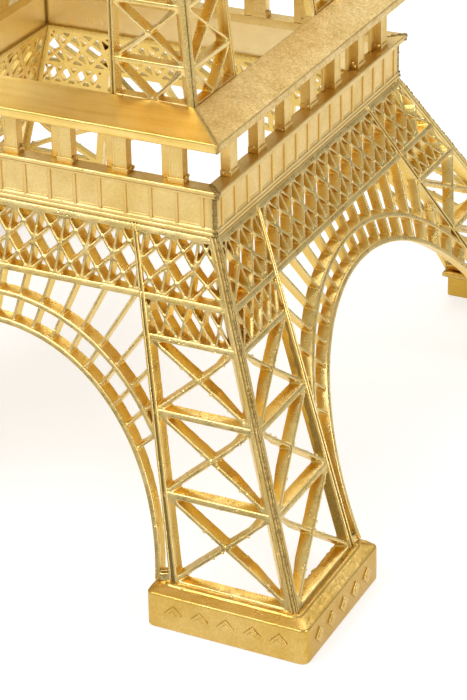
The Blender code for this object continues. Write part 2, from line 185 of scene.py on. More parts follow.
def uneven(outline, seed, spacing=1.7, amount=0.05, closed=True):
    """The outline in short steps, each nudged a little: cast edges are never quite straight."""
    points = []
    for a, b in zip(outline, outline[1:] + outline[:1] if closed else outline[1:]):
        count = max(1, round(math.dist(a, b) / spacing))
        for step in range(count):
            x, z = (a[0] + (b[0] - a[0]) * step / count, a[1] + (b[1] - a[1]) * step / count)
            nudge = noise.noise_vector(Vector((x * 0.9, z * 0.9, seed)))
            burr = noise.noise(Vector((x * 1.7, z * 1.7, seed + 5.0)))
            grow = amount + 0.10 * max(0.0, burr - 0.45)
            points.append((x + nudge.x * grow, z + nudge.y * grow))
    return points


def strip(points, half):
    """The outline of a strip of this half width along a line of points."""
    left, right = [], []
    for i, (x, z) in enumerate(points):
        x0, z0 = points[max(i - 1, 0)]
        x1, z1 = points[min(i + 1, len(points) - 1)]
        size = math.hypot(x1 - x0, z1 - z0)
        nx, nz = -(z1 - z0) / size * half, (x1 - x0) / size * half
        left.append((x + nx, z + nz))
        right.append((x - nx, z - nz))
    return left + right[::-1]


# --- Meshes -------------------------------------------------------------------------------------------------

def moved_in(outline, amount):
    """The outline with every corner moved towards its own inside, or outside where amount is negative."""
    turn = 1 if area(outline) > 0 else -1
    moved = []
    for i, (x, z) in enumerate(outline):
        x0, z0 = outline[i - 1]
        x1, z1 = outline[(i + 1) % len(outline)]
        ax, az = x - x0, z - z0
        bx, bz = x1 - x, z1 - z
        a, b = math.hypot(ax, az) or 1.0, math.hypot(bx, bz) or 1.0
        nx, nz = -turn * (az / a + bz / b), turn * (ax / a + bx / b)
        size = math.hypot(nx, nz)
        if size < 1e-6:
            moved.append((x, z))
            continue
        reach = amount * min(1.6, 2 / size) / size
        moved.append((x + nx * reach, z + nz * reach))
    return moved


def filled(outlines):
    """Triangles between the first outline and the openings in it, as numbers of points in the joined list."""
    points = [Vector(point) for outline in outlines for point in outline]
    edges, start = [], 0
    for outline in outlines:
        count = len(outline)
        edges += [(start + i, start + (i + 1) % count) for i in range(count)]
        start += count
    made, _, triangles, origins, _, _ = delaunay_2d_cdt(points, edges, [], 0, 1e-5)
    ends = np.array([(points[a], points[b]) for a, b in edges])
    corners = np.array([[made[i] for i in triangle] for triangle in triangles])
    centres = corners.mean(axis=1)
    x, z = centres[:, :1], centres[:, 1:]
    x0, z0, x1, z1 = ends[:, 0, 0], ends[:, 0, 1], ends[:, 1, 0], ends[:, 1, 1]
    rise = np.where(z1 == z0, 1.0, z1 - z0)
    crossed = ((z0 > z) != (z1 > z)) & (x < x0 + (z - z0) / rise * (x1 - x0))
    inside = crossed.sum(axis=1) % 2 == 1
    kept = []
    for triangle, keep in zip(triangles, inside):
        if keep and all(origins[i] for i in triangle):
            kept.append(tuple(origins[i][0] for i in triangle))
    return kept


def drafted(outline, draft):
    """An opening as it is at the back of the casting: narrower, so that the pattern could be drawn out."""
    inside = abs(area(outline))
    around_it = sum(math.dist(a, b) for a, b in zip(outline, outline[1:] + outline[:1]))
    if 4 * math.pi * inside / around_it ** 2 < 0.33:
        return moved_in(outline, draft * 0.3)
    radius = 2 * inside / around_it
    share = 1 - min(draft / radius, 0.42)
    x0 = sum(x for x, _ in outline) / len(outline)
    z0 = sum(z for _, z in outline) / len(outline)
    return [(x0 + (x - x0) * share, z0 + (z - z0) * share) for x, z in outline]


def plate(outlines, near, far, bevel, soft, draft):
    """Points of (x, z, inwards) and faces of a bevelled plate from depth near to depth far, with openings.

    A soft plate's bevel has two steps, and a draft narrows the openings towards the back.
    """
    backs = [outlines[0]] + [drafted(outline, draft) if draft else outline for outline in outlines[1:]]
    front = [(near, 1.0), (near + bevel, 0.0)]
    if soft:
        front.insert(1, (near + 0.3 * bevel, 0.3))
    levels = front + [(near + far - depth, share) for depth, share in reversed(front)]
    points, faces = [], []
    count = sum(len(outline) for outline in outlines)
    for level, (depth, share) in enumerate(levels):
        for i, outline in enumerate(outlines if level < len(front) else backs):
            shifted = moved_in(outline, bevel * share * (1 if i == 0 else -1)) if share else outline
            points += [(x, z, depth) for x, z in shifted]
    for i, level in enumerate(levels[:-1]):
        start = i * count
        for j, outline in enumerate(outlines):
            size = len(outline)
            forward = (area(outline) > 0) == (j == 0)
            for k in range(size):
                a, b = start + k, start + (k + 1) % size
                face = (a, b, b + count, a + count)
                faces.append(face[::-1] if forward else face)
            start += size
    for start, outwards in ((0, 1), ((len(levels) - 1) * count, -1)):
        face_outlines, first = [], start
        for outline in outlines:
            face_outlines.append([points[first + k][:2] for k in range(len(outline))])
            first += len(outline)
        for triangle in filled(face_outlines):
            a, b, c = (start + v for v in triangle)
            turned = area([points[a][:2], points[b][:2], points[c][:2]]) * outwards > 0
            faces.append((a, b, c) if turned else (a, c, b))
    return points, faces


class Casting:
    """Points and faces gathered into one mesh, each point with its depth, which sets its painted shade and
    below zero its painted light, and its nearness to a seam, where a value over 1.2 stands for painted shade
    in a recess.
    """

    def __init__(self):
        self.points, self.faces, self.depths, self.seams = [], [], [], []

    def add(self, points, faces, depths=None, seams=None):
        start = len(self.points)
        self.points += [Vector(point) for point in points]
        self.faces += [tuple(start + i for i in face) for face in faces]
        self.depths += list(depths) if depths is not None else [0.0] * len(points)
        self.seams += list(seams) if seams is not None else [0.0] * len(points)

    def join(self, other, matrix):
        """Adds another casting, moved by the matrix."""
        self.add([matrix @ point for point in other.points], other.faces, other.depths, other.seams)

    def mesh(self, name, turn=0.0):
        made = bpy.data.meshes.new(name)
        matrix = Matrix.Rotation(turn, 4, "Z")
        made.from_pydata([matrix @ point * MM for point in self.points], [], self.faces)
        # depth carries how much painted shade a point gets, and painted light below zero; seam over 1.2
        # carries painted shade.
        for label, values in (("depth", self.depths), ("seam", self.seams)):
            layer = made.attributes.new(label, "FLOAT", "POINT")
            layer.data.foreach_set("value", np.array(values, np.float32))
        made.shade_smooth()
        return made


def placed_object(name, data):
    made = bpy.data.objects.new(name, data)
    bpy.context.scene.collection.objects.link(made)
    return made


def piece(name, mesh, material, nodes=()):
    """One casting of the root body, which replaces the CAD nodes of the same place."""
    made = placed_object(name, mesh)
    mesh.materials.append(material)
    normals = made.modifiers.new("weighted", "WEIGHTED_NORMAL")
    normals.keep_sharp = True
    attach(made, "root")
    if nodes:
        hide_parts(*nodes)


class Side(Casting):
    """A flat side casting whose outer face lies half_at(z) in front of the axis, mitred at both corners."""

    def __init__(self, half_at, leaning, depth):
        super().__init__()
        self.half_at, self.leaning, self.depth = half_at, leaning, depth

    def from_edge(self, x, z):
        return max(0.0, self.half_at(z) - GAP / 2 - abs(x))

    def placed(self, x, z, inwards):
        moved = x - math.copysign(inwards * max(0.0, 1 - self.from_edge(x, z) / self.leaning), x)
        return moved, inwards - self.half_at(z), z

    def put(self, outlines, near, far, bevel=0.12, soft=False, draft=0.0, painted_shade=0.0):
        """Adds a plate, painted darker the deeper a point lies, as painted shade. It has a rough seam near
        the mitre, and a last argument over 1.2 paints all of it dark, as painted shade in a recess.
        """
        points, faces = plate(outlines, near, far, bevel, soft, draft)
        depths = [inwards / self.depth for _, _, inwards in points]
        seams = [max(painted_shade, 1 - self.from_edge(x, z) / SEAM_WIDTH) for x, z, _ in points]
        self.add([self.placed(*point) for point in points], faces, depths, seams)

    def raised(self, line, half, seed, wave, near, far, bevel):
        """A soft-edged strip that stands out along a line."""
        self.put([uneven(strip(line, half), seed, 2.5, wave)], near, far, bevel, True)

    def chord(self, start, end, z, half, seed, wave, near, far, bevel, steps):
        """A strip over a level bar; one that starts right of the middle has a twin on the left."""
        for a, b in [(start, end)] + [(-end, -start)] * (start > 0):
            self.raised([(x, z) for x in spread(a, b, steps)], half, seed + z, wave, near, far, bevel)

    def corner_strip(self, sign, heights, outer, inner, seed, wave, near, far):
        """A strip up one corner, between these distances inside it, with a ragged inner edge."""
        edge = [(sign * (self.half_at(z) - outer), z) for z in (heights[0], heights[-1])]
        back = [(sign * (self.half_at(z) - inner), z) for z in reversed(heights)]
        self.put([edge + uneven(back, seed, 9.0, wave, False) + back[-1:]], near, far, 0.2, True)

    def ridges(self, line, seed, low_gap, high_gap):
        """A rib with two raised edges and a recessed strip between them, low_gap wide and then high_gap,
        painted nearly black as painted shade.
        """
        halves = [gap / 2 for gap in spread(low_gap, high_gap, len(line) - 1)]
        for side in (-1, 1):
            ridge = [(x + side * (half + RIDGE_HALF), z) for (x, z), half in zip(line, halves)]
            near = 0.0 if side * line[0][0] > 0 else 0.1
            self.put([uneven(strip(ridge, RIDGE_HALF), seed + side, 2.0, 0.05)], near, 1.0, 0.2, True)
        left = [(x - half - 0.05, z) for (x, z), half in zip(line, halves)]
        right = [(x + half + 0.05, z) for (x, z), half in zip(line, halves)]
        self.put([left + right[::-1]], 0.34, 0.9, painted_shade=2.0)

    def burrs(self, start, end, half, count, rng):
        """Specks of flash left on the edges of a bar from start to end."""
        run = Vector(end) - Vector(start)
        across = Vector((-run.y, run.x)).normalized()
        for _ in range(count):
            share, edge = 0.06 + 0.88 * rng.random(), rng.choice((-1, 1))
            x, z = Vector(start) + run * share + across * edge * half
            radius, inwards = 0.16 + 0.20 * rng.random() ** 2, rng.choice((0.6, self.depth - 0.1))
            blob(self, self.placed(x, z, inwards), radius, 10 * share, (1.5, 0.8, 1.2), 0.3)


# --- Openings of the lattice --------------------------------------------------------------------------------

def arch_point(radius, degrees):
    angle = math.radians(degrees)
    return radius * math.sin(angle), ARCH_CENTRE + radius * math.cos(angle)


def arc(radius, angles):
    return [arch_point(radius, angle) for angle in angles]


def rib_radius(degrees):
    """Distance from the arch's centre to the leg's inner rib, along a post's direction."""
    angle = math.radians(degrees)
    start = LEG_INNER[0] + RIB_HALF - LEG_INNER[1] * ARCH_CENTRE
    return start / (math.sin(angle) + LEG_INNER[1] * math.cos(angle))


def rib_arc(angles):
    return [arch_point(rib_radius(angle), angle) for angle in angles]


def leg_corner(z):
    return line_at(LEG_CORNER, z)


def leg_corner_bar(z):
    return leg_corner(z) - CORNER_HALF


def leg_rib(z):
    return line_at(LEG_INNER, z) + RIB_HALF


def middle_corner(z):
    return line_at(MIDDLE_CORNER, z)


def middle_corner_bar(z):
    return middle_corner(z) - MIDDLE_CORNER_HALF


def middle_rib(z):
    return line_at(MIDDLE_INNER, z) + MIDDLE_RIB_HALF


def upper_half(z):
    return 5.8 + 17.5 * math.exp(-(z - UPPER_FOOT) / 100.0)


def upper_corner_bar(z):
    return upper_half(z) - UPPER_CORNER_HALF


def upper_rib(z):
    return 9.6 - 6.4 * (z - UPPER_SPLIT[0]) / (UPPER_SPLIT[-1] - UPPER_SPLIT[0])


def panel(left, right, low, high):
    """Corners of a panel between two lines that are given as functions of height."""
    return [(left(low), low), (right(low), low), (right(high), high), (left(high), high)]


def arch_openings():
    """Openings of one half of the arch: between girder and middle ring, and between the two rings."""
    chord = GIRDER[0]
    rib_foot = (leg_rib(chord), chord)
    inner_ring = ARCH_RADIUS + RING_HALF
    openings = []
    for step in range(ARCH_POSTS):
        first, last = step * POST_ANGLE, (step + 1) * POST_ANGLE
        steps = (first, (first + last) / 2, last)
        outer = [arch_point(min(RING_RADIUS, rib_radius(angle)), angle) for angle in steps]
        openings.append(inset(outer + arc(inner_ring, reversed(steps)), [RING_HALF, RING_HALF, BAR_HALF] * 2))
        if step == ARCH_POSTS - 1:
            continue
        tops = []
        for angle in (first, last):
            radius = (chord - ARCH_CENTRE) / math.cos(math.radians(angle))
            tops.append(arch_point(min(radius, rib_radius(angle)), angle))
        top_edge, margins = tops, [CHORD_HALF]
        if tops[0][1] < chord - 0.1:
            margins = [RIB_HALF]
        elif tops[1][1] < chord - 0.1:
            top_edge, margins = [tops[0], rib_foot, tops[1]], [CHORD_HALF, RIB_HALF]
        margins = margins + [BAR_HALF, RING_HALF, RING_HALF, BAR_HALF]
        openings.append(inset(top_edge + arc(RING_RADIUS, reversed(steps)), margins))
    tip = spread((ARCH_POSTS - 1) * POST_ANGLE, (ARCH_POSTS - 1) * POST_ANGLE + 3.2, 2)
    margins = [RIB_HALF] * 2 + [OPEN_END] + [RING_HALF] * 2 + [BAR_HALF]
    openings.append(inset(rib_arc(tip) + arc(RING_RADIUS, reversed(tip)), margins))
    slot = spread(ARCH_POSTS * POST_ANGLE, SLOT_ANGLE, 8)
    margins = [RIB_HALF] * 8 + [BAR_HALF] + [RING_HALF] * 8 + [BAR_HALF]
    openings.append(inset(rib_arc(slot) + arc(inner_ring, reversed(slot)), margins))
    return openings


def band_openings():
    """The narrow band of small X's between leg and girder, whose cells lean with the corner."""
    low, high = LEG_LEVELS[-1], GIRDER[0]
    bar = FINE_BAR_HALF

    def post(i):
        return lambda z: leg_corner_bar(z) - 1.0 - BAND_PITCH * i

    openings, centres = [], []
    for i in range(BAND_CELLS):
        is_last = i == BAND_CELLS - 1
        corners = panel(leg_rib if is_last else post(i + 1), post(i), low, high)
        cell = crossed_cell(corners, (CHORD_HALF, 0.2, CHORD_HALF, RIB_HALF), bar)
        centres.append(crossing(corners[0], corners[2], corners[1], corners[3]))
        openings += [cell[0], cell[2]]
        if i == 0:
            edge = [corners[1], (leg_corner_bar(low), low), (leg_corner_bar(high), high), corners[2]]
            openings.append(inset(edge + centres, (CHORD_HALF, CORNER_HALF, CHORD_HALF, bar, bar)))
        else:
            openings.append(inset([corners[1], centres[-2], corners[2], centres[-1]], (bar,) * 4))
        if is_last:
            openings.append(cell[3])
    return openings


def corner_bay(left, low, high):
    """The girder's last bay, which tapers against the sloping corner: two X's, one above the other."""
    middle = (low + high) / 2
    posts = [(left, low), (left, middle), (left, high)]
    corners = [(leg_corner_bar(z), z) for z in (low, middle, high)]
    lower = crossing(posts[0], corners[1], corners[0], posts[1])
    upper = crossing(posts[1], corners[2], corners[1], posts[2])
    bar = BAR_HALF
    return [inset([posts[2], corners[2], upper], (CHORD_HALF, bar, bar)),
            inset([posts[0], corners[0], lower], (CHORD_HALF, bar, bar)),
            inset([posts[1], lower, corners[1], upper], (bar,) * 4),
            inset([posts[0], posts[1], lower], (bar,) * 3),
            inset([posts[1], posts[2], upper], (bar,) * 3),
            inset([corners[0], corners[1], lower], (CORNER_HALF, bar, bar)),
            inset([corners[1], corners[2], upper], (CORNER_HALF, bar, bar))]


def girder_openings(reach, low, high, bays, end, bar, chord, post):
    """Two X's, one above the other, in each bay between posts, over a girder reach wide to each side."""
    openings = []
    middle = (low + high) / 2
    posts = spread(-reach, reach, bays)
    for i, (x0, x1) in enumerate(zip(posts, posts[1:])):
        upper, lower = ((x0 + x1) / 2, (middle + high) / 2), ((x0 + x1) / 2, (low + middle) / 2)
        openings.append(inset([(x0, high), (x1, high), upper], (chord, bar, bar)))
        openings.append(inset([(x0, low), (x1, low), lower], (chord, bar, bar)))
        openings.append(inset([(x0, middle), lower, (x1, middle), upper], (bar,) * 4))
        for bottom, top, centre in ((middle, high, upper), (low, middle, lower)):
            for x, is_end in ((x0, i == 0), (x1, i == bays - 1)):
                openings.append(inset([(x, bottom), (x, top), centre], (end if is_end else post, bar, bar)))
    return openings


def finished(openings, seed):
    """The openings with rounded corners and ragged edges, those too small to cast left out."""
    return [uneven(rounded(opening), seed + 0.37 * i, 1.3, 0.07) for i, opening in enumerate(openings)
            if abs(area(opening)) > 0.3]


def lower_openings():
    half = []
    for i, (low, high) in enumerate(zip(LEG_LEVELS, LEG_LEVELS[1:])):
        rails = (CHORD_HALF if i else OPEN_END, CORNER_HALF, CHORD_HALF, RIB_HALF)
        half += crossed_cell(panel(leg_rib, leg_corner_bar, low, high), rails, LEG_BAR_HALF)
    last = GIRDER_BAYS * GIRDER_BAY / 2
    half += band_openings() + arch_openings() + corner_bay(last, *GIRDER)
    girder = girder_openings(last, *GIRDER, GIRDER_BAYS, BAR_HALF, BAR_HALF, CHORD_HALF, BAR_HALF)
    return half + mirrored(half) + girder


def middle_openings(foot):
    corner, chord, rib = MIDDLE_CORNER_HALF, MIDDLE_CHORD_HALF, MIDDLE_RIB_HALF
    half = []
    for low, high in zip(MIDDLE_LEVELS[1:], MIDDLE_LEVELS[2:]):
        half += crossed_cell(panel(middle_rib, middle_corner_bar, low, high), (chord, corner, chord, rib))
    first, tip_z = MIDDLE_LEVELS[1], foot + 0.5
    tip = ((middle_rib(foot) + middle_corner_bar(foot)) / 2, tip_z)
    top_in, top_out = (middle_rib(first), first), (middle_corner_bar(first), first)
    half.append(inset([top_in, tip, top_out], (BAR_HALF, BAR_HALF, chord)))
    half.append(inset([top_in, (middle_rib(foot), tip_z), tip], (rib, 0.2, BAR_HALF)))
    half.append(inset([top_out, tip, (middle_corner_bar(foot), tip_z)], (BAR_HALF, 0.2, corner)))
    reach = middle_corner_bar(MIDDLE_GIRDER[1])
    girder = girder_openings(reach, *MIDDLE_GIRDER, 10, corner, FINE_BAR_HALF, chord, 0.3)
    return half + mirrored(half) + girder


def upper_openings(levels):
    """Two legs up to where they join, and one column of X's between the levels above."""
    corner, chord, rib = UPPER_CORNER_HALF, 0.5, 0.55
    half, centre = [], []
    for low, high in zip(UPPER_SPLIT, UPPER_SPLIT[1:]):
        half += crossed_cell(panel(upper_rib, upper_corner_bar, low, high), (chord, corner, chord, rib), 0.32)
        centre.append(inset(panel(lambda z: -upper_rib(z), upper_rib, low, high), (chord, rib, chord, rib)))
    for low, high in zip(levels, levels[1:]):
        corners = panel(lambda z: -upper_corner_bar(z), upper_corner_bar, low, high)
        centre += crossed_cell(corners, (0.45, corner, 0.45, corner), 0.3)
    return half + mirrored(half) + centre


# --- Lattice sides ------------------------------------------------------------------------------------------

def with_twin(outline):
    """An outline's right side, followed by its mirror image down the left."""
    return outline + [(-x, z) for x, z in reversed(outline)]


def rib_flank(side, bottom):
    """The recess along the inner flank of the left leg's rib, which widens downwards, painted dark as painted
    shade and a painted dark reflection of the shaded floor.
    """
    top = LEG_LEVELS[3]
    heights = spread(bottom, top, 20)
    outline = [(-leg_rib(z) - 0.6, z) for z in heights]
    outline += [(-leg_rib(z) - 0.86 - 0.006 * (top - z), z) for z in reversed(heights)]
    side.put([outline], 0.5, 2.95, painted_shade=1.75)


def rib_sliver(side, sign, span):
    """The gap where the arch's inner ring runs into the rib, near the foot, filled by a strip painted dark as
    painted shade.
    """
    angles = spread(SLOT_ANGLE - 1.0, span - 1.5, 12)
    outline = arc(ARCH_RADIUS + 1.1, angles)
    outline += [arch_point(max(ARCH_RADIUS + 1.25, rib_radius(a) - 0.7), a) for a in reversed(angles)]
    side.put([[(sign * x, z) for x, z in outline]], 0.4, 1.0, painted_shade=1.5)


def leg_burrs(side, rng):
    for sign in (1, -1):
        for low, high in zip(LEG_LEVELS, LEG_LEVELS[1:]):
            for first, second in ((low, high), (high, low)):
                ends = (sign * leg_rib(first), first), (sign * leg_corner_bar(second), second)
                side.burrs(*ends, LEG_BAR_HALF, 16, rng)
            side.burrs((sign * leg_rib(high), high), (sign * leg_corner_bar(high), high), CHORD_HALF, 10, rng)


def lower_side(seed):
    bottom, top, crest = LEG_LEVELS[0] - CHORD_HALF, GIRDER[1] + CHORD_HALF + 0.75, GIRDER[1] + 0.95
    span = math.degrees(math.acos((bottom - ARCH_CENTRE) / ARCH_RADIUS))
    outline = with_twin([(leg_corner(z) - GAP / 2, z) for z in (bottom, top)])
    outline += arc(ARCH_RADIUS, spread(-span, span, 60))
    side = Side(leg_corner, 9.0, LOWER_DEPTH)
    side.put([outline] + finished(lower_openings(), seed), 0.45, LOWER_DEPTH, draft=0.30)
    heights = spread(bottom, crest, 30)
    for sign in (1, -1):
        side.ridges([(sign * leg_rib(z), z) for z in heights], seed + sign, 0.95, 0.3)
        if sign < 0:
            rib_flank(side, bottom)
        rib_sliver(side, sign, span)
        side.corner_strip(sign, heights, 0.12, 0.72, seed + 2 + sign, 0.06, 0.0, 1.0)
        side.corner_strip(sign, heights, 0.98, 1.85, seed + 2 + sign, 0.06, 0.1, 1.0)
    leg_burrs(side, np.random.default_rng(int(seed)))
    raised = dict(seed=seed, wave=0.02, near=0.22, far=1.1, bevel=0.18, steps=24)
    for z in LEG_LEVELS[1:]:
        side.chord(leg_rib(z), leg_corner_bar(z), z, CHORD_HALF, **raised)
    for z in GIRDER:
        side.chord(-leg_corner_bar(z), leg_corner_bar(z), z, CHORD_HALF + 0.05, **raised)
    intrados = arc(ARCH_RADIUS + RING_HALF, spread(-span, span, 70))
    side.raised(intrados, RING_HALF, seed + 7, 0.04, 0.05, 1.1, 0.2)
    side.raised(arc(RING_RADIUS, spread(-49.5, 49.5, 60)), RING_HALF * 0.9, seed + 8, 0.04, 0.12, 1.1, 0.2)
    return side


def middle_side(seed):
    foot, (low, high) = MIDDLE_LEVELS[0] - 1.0, MIDDLE_GIRDER
    top, under = high + MIDDLE_CHORD_HALF, low - MIDDLE_CHORD_HALF
    outline = with_twin([(middle_rib(foot) - MIDDLE_RIB_HALF, foot), (middle_corner(foot) - GAP / 2, foot),
                         (middle_corner(top) - GAP / 2, top)])
    outline += [(sign * (middle_rib(low) - MIDDLE_RIB_HALF), under) for sign in (-1, 1)]
    side = Side(middle_corner, 8.0, MIDDLE_DEPTH)
    side.put([outline] + finished(middle_openings(foot), seed), 0.35, MIDDLE_DEPTH, 0.1, draft=0.3)
    heights = spread(foot, top, 30)
    for sign in (1, -1):
        side.ridges([(sign * middle_rib(z), z) for z in heights], seed + sign, 0.45, 0.3)
        side.corner_strip(sign, heights, 0.15, 1.6, seed + 2 + sign, 0.05, 0.0, 0.8)
    for z in MIDDLE_LEVELS[1:] + MIDDLE_GIRDER[1:]:
        start = middle_rib(z) if z < low else -middle_corner_bar(z)
        side.chord(start, middle_corner_bar(z), z, 0.52, seed, 0.04, 0.18, 0.9, 0.16, 12)
    return side


def upper_side(seed):
    top = box_mm("upper_side_front")[1].z
    levels = [UPPER_SPLIT[-1]]
    while levels[-1] < top:
        levels.append(levels[-1] + 1.15 * upper_half(levels[-1]))
    stretch = (top - 0.5 - levels[0]) / (levels[-1] - levels[0])
    levels = [levels[0] + (z - levels[0]) * stretch for z in levels]
    heights = spread(UPPER_FOOT, top, 40)
    side = Side(upper_half, 6.0, UPPER_DEPTH)
    outline = with_twin([(upper_half(z) - GAP / 2, z) for z in heights])
    side.put([outline] + finished(upper_openings(levels), seed), 0.3, UPPER_DEPTH, 0.1, draft=0.25)
    for sign in (1, -1):
        corner = [(sign * (upper_half(z) - 0.15), z) for z in heights]
        inner = [(sign * (upper_half(z) - 1.45), z) for z in reversed(heights)]
        side.put([corner + inner], 0.0, 0.7, 0.18, True)
        rib = [(sign * upper_rib(z), z) for z in heights if z < UPPER_SPLIT[-1]]
        side.put([strip(rib, 0.5)], 0.05, 0.7, 0.16, True)
    for z in UPPER_SPLIT[1:] + tuple(levels[1:-1]):
        side.chord(-upper_corner_bar(z), upper_corner_bar(z), z, 0.42, seed, 0.03, 0.12, 0.8, 0.14, 16)
    return side


# --- Galleries, roofs, feet and the top ---------------------------------------------------------------------

def bar_along(casting, profile, seed, steps, radius, wave, painted_light_and_shade_of, corner_steps):
    """A mitred bar along a side facing -Y, swept from corner to corner.

    It has a closed profile of (distance outwards, z), whose corners are rounded by the radius, and a function
    gives each profile point its depth, which sets its painted shade, and below zero its painted light.
    """
    ring = rounded(profile, radius, corner_steps)
    reach = max(out for out, _ in profile)
    points, depths, seams = [], [], []
    for share in spread(-1.0, 1.0, steps):
        for j, (out, z) in enumerate(ring):
            nudge = noise.noise_vector(Vector((share * reach * 0.35, j * 0.15 + z * 0.4, seed)))
            keep = min(1.0, 8 * (1 - abs(share)))
            x = share * (out - GAP / 2)
            points.append((x, -out + wave * nudge.y * keep * (out < reach - 0.02), z + wave * nudge.z * keep))
            depths.append(painted_light_and_shade_of(out, z))
            seams.append(max(0.0, 1 - (1 - abs(share)) * reach / 2.2) if out > reach - 1.0 else 0.0)
    count = len(ring)
    faces = []
    for step in range(steps):
        for j in range(count):
            a, b = step * count + j, step * count + (j + 1) % count
            faces.append((a, b, b + count, a + count))
    faces.append(tuple(range(count))[::-1])
    faces.append(tuple(steps * count + j for j in range(count)))
    if area(ring) > 0:
        faces = [face[::-1] for face in faces]
    casting.add(points, faces, depths, seams)


def block(casting, centre, size, bevel, depth=0.0, turn=0.0):
    """A box with rounded edges, turned about the axis that runs through the wall; depth sets how much painted
    shade it gets.
    """
    shape = bmesh.new()
    bmesh.ops.create_cube(shape, size=1.0)
    bmesh.ops.scale(shape, vec=size, verts=shape.verts)
    bmesh.ops.bevel(shape, geom=list(shape.edges), offset=bevel, segments=2, profile=0.6, affect="EDGES")
    if turn:
        bmesh.ops.rotate(shape, matrix=Matrix.Rotation(turn, 3, "Y"), verts=shape.verts)
    points = [v.co + Vector(centre) for v in shape.verts]
    faces = [tuple(v.index for v in face.verts) for face in shape.faces]
    shape.free()
    casting.add(points, faces, [depth] * len(points))


def blob(casting, centre, size, seed, stretch=(1, 1, 1), seam=1.0):
    """A bead of solder: a lumpy ball."""
    shape = bmesh.new()
    bmesh.ops.create_icosphere(shape, subdivisions=2, radius=1.0)
    points = []
    for vert in shape.verts:
        lump = 1 + 0.35 * noise.noise(vert.co * 1.3 + Vector((seed, seed * 0.7, 0)))
        points.append(Vector(centre) + Vector([c * s * size * lump for c, s in zip(vert.co, stretch)]))
    faces = [tuple(v.index for v in face.verts) for face in shape.faces]
    shape.free()
    casting.add(points, faces, seams=[seam] * len(points))


GALLERIES = (
    SimpleNamespace(node="first", foot=77.2, half=51.4, wall=2.0, moulding=2.0, fillets=16,
                    ledge=86.8, ledge_half=53.0, ledge_in=48.8, thick=1.8,
                    columns=7, pitch=13.94, column=3.5, top=97.6,
                    roof=97.9, fascia=2.2, roof_half=53.3, roof_in=42.3, roof_top=103.0),
    SimpleNamespace(node="second", foot=172.3, half=33.4, wall=1.8, moulding=1.7, fillets=10,
                    ledge=179.2, ledge_half=34.8, ledge_in=31.0, thick=1.6,
                    columns=5, pitch=12.4, column=3.0, top=187.2,
                    roof=187.5, fascia=1.8, roof_half=35.0, roof_in=23.6, roof_top=191.5),
)


def gallery_wall(size, seed):
    """The frieze with its moulding and fillets, the ledge, and the columns that carry the roof."""
    casting = Casting()
    half, wall, ledge, foot, rim = size.half, size.wall, size.ledge, size.foot, size.ledge_half
    shelf, moulding = ledge + size.thick, foot + size.moulding

    # Painted light: the frieze's inner wall below the shelf gets depth -1, which lifts it to a bright tone.
    def wall_painted_light(out, z):
        return -1.0 if out < half - 0.5 and z < shelf - 0.2 else 0.0

    # Painted shade: the top of the ledge, inside its lip, gets depth 0.55 and so a deeper tone.
    def ledge_painted_shade(out, z):
        return 0.55 if z > shelf - 0.05 and out < rim - 0.4 else 0.0

    frieze = [(half + 0.1, foot), (half + 0.38, foot + 0.25), (half + 0.4, foot + 0.75),
              (half + 0.05, foot + 0.95), (half + 0.3, foot + 1.2), (half + 0.3, moulding - 0.35),
              (half, moulding), (half, ledge + 0.2), (half - wall, ledge + 0.2), (half - wall, foot)]
    bar_along(casting, frieze, seed, 80, 0.12, 0.04, wall_painted_light, 1)
    lip = [(half + 0.5, ledge - 0.1), (rim - 0.4, ledge + 0.1), (rim - 0.35, ledge + 0.6),
           (rim - 0.55, ledge + 0.75), (rim, ledge + 0.95), (rim, shelf - 0.25), (rim - 0.25, shelf),
           (size.ledge_in, shelf), (size.ledge_in, ledge - 0.5), (half - 0.6, ledge - 0.5)]
    bar_along(casting, lip, seed + 1, 90, 0.12, 0.05, ledge_painted_shade, 1)
    pitch = 2 * half / size.fillets
    middle, tall = (moulding + ledge) / 2, ledge - moulding
    for i in range(size.fillets):
        x = (i + 0.5) * pitch - half
        # Painted shade: each fillet gets depth 0.42, which paints it in a deeper tone.
        block(casting, (x, -half, middle), (0.8, 0.62, tall + 0.4), 0.14, 0.42)
        block(casting, (x, -half - 0.02, middle + 0.2), (0.34, 0.7, tall - 0.2), 0.1, 0.1)
        if i + 1 < size.fillets:
            block(casting, (x + pitch / 2, -half + 0.1, moulding + 0.2), (pitch - 1.4, 0.4, 0.5), 0.15)
    rng = np.random.default_rng(int(seed) + 70)
    for i in range(size.columns):
        column(casting, size, (i - (size.columns - 1) / 2) * size.pitch, rng)
    return casting


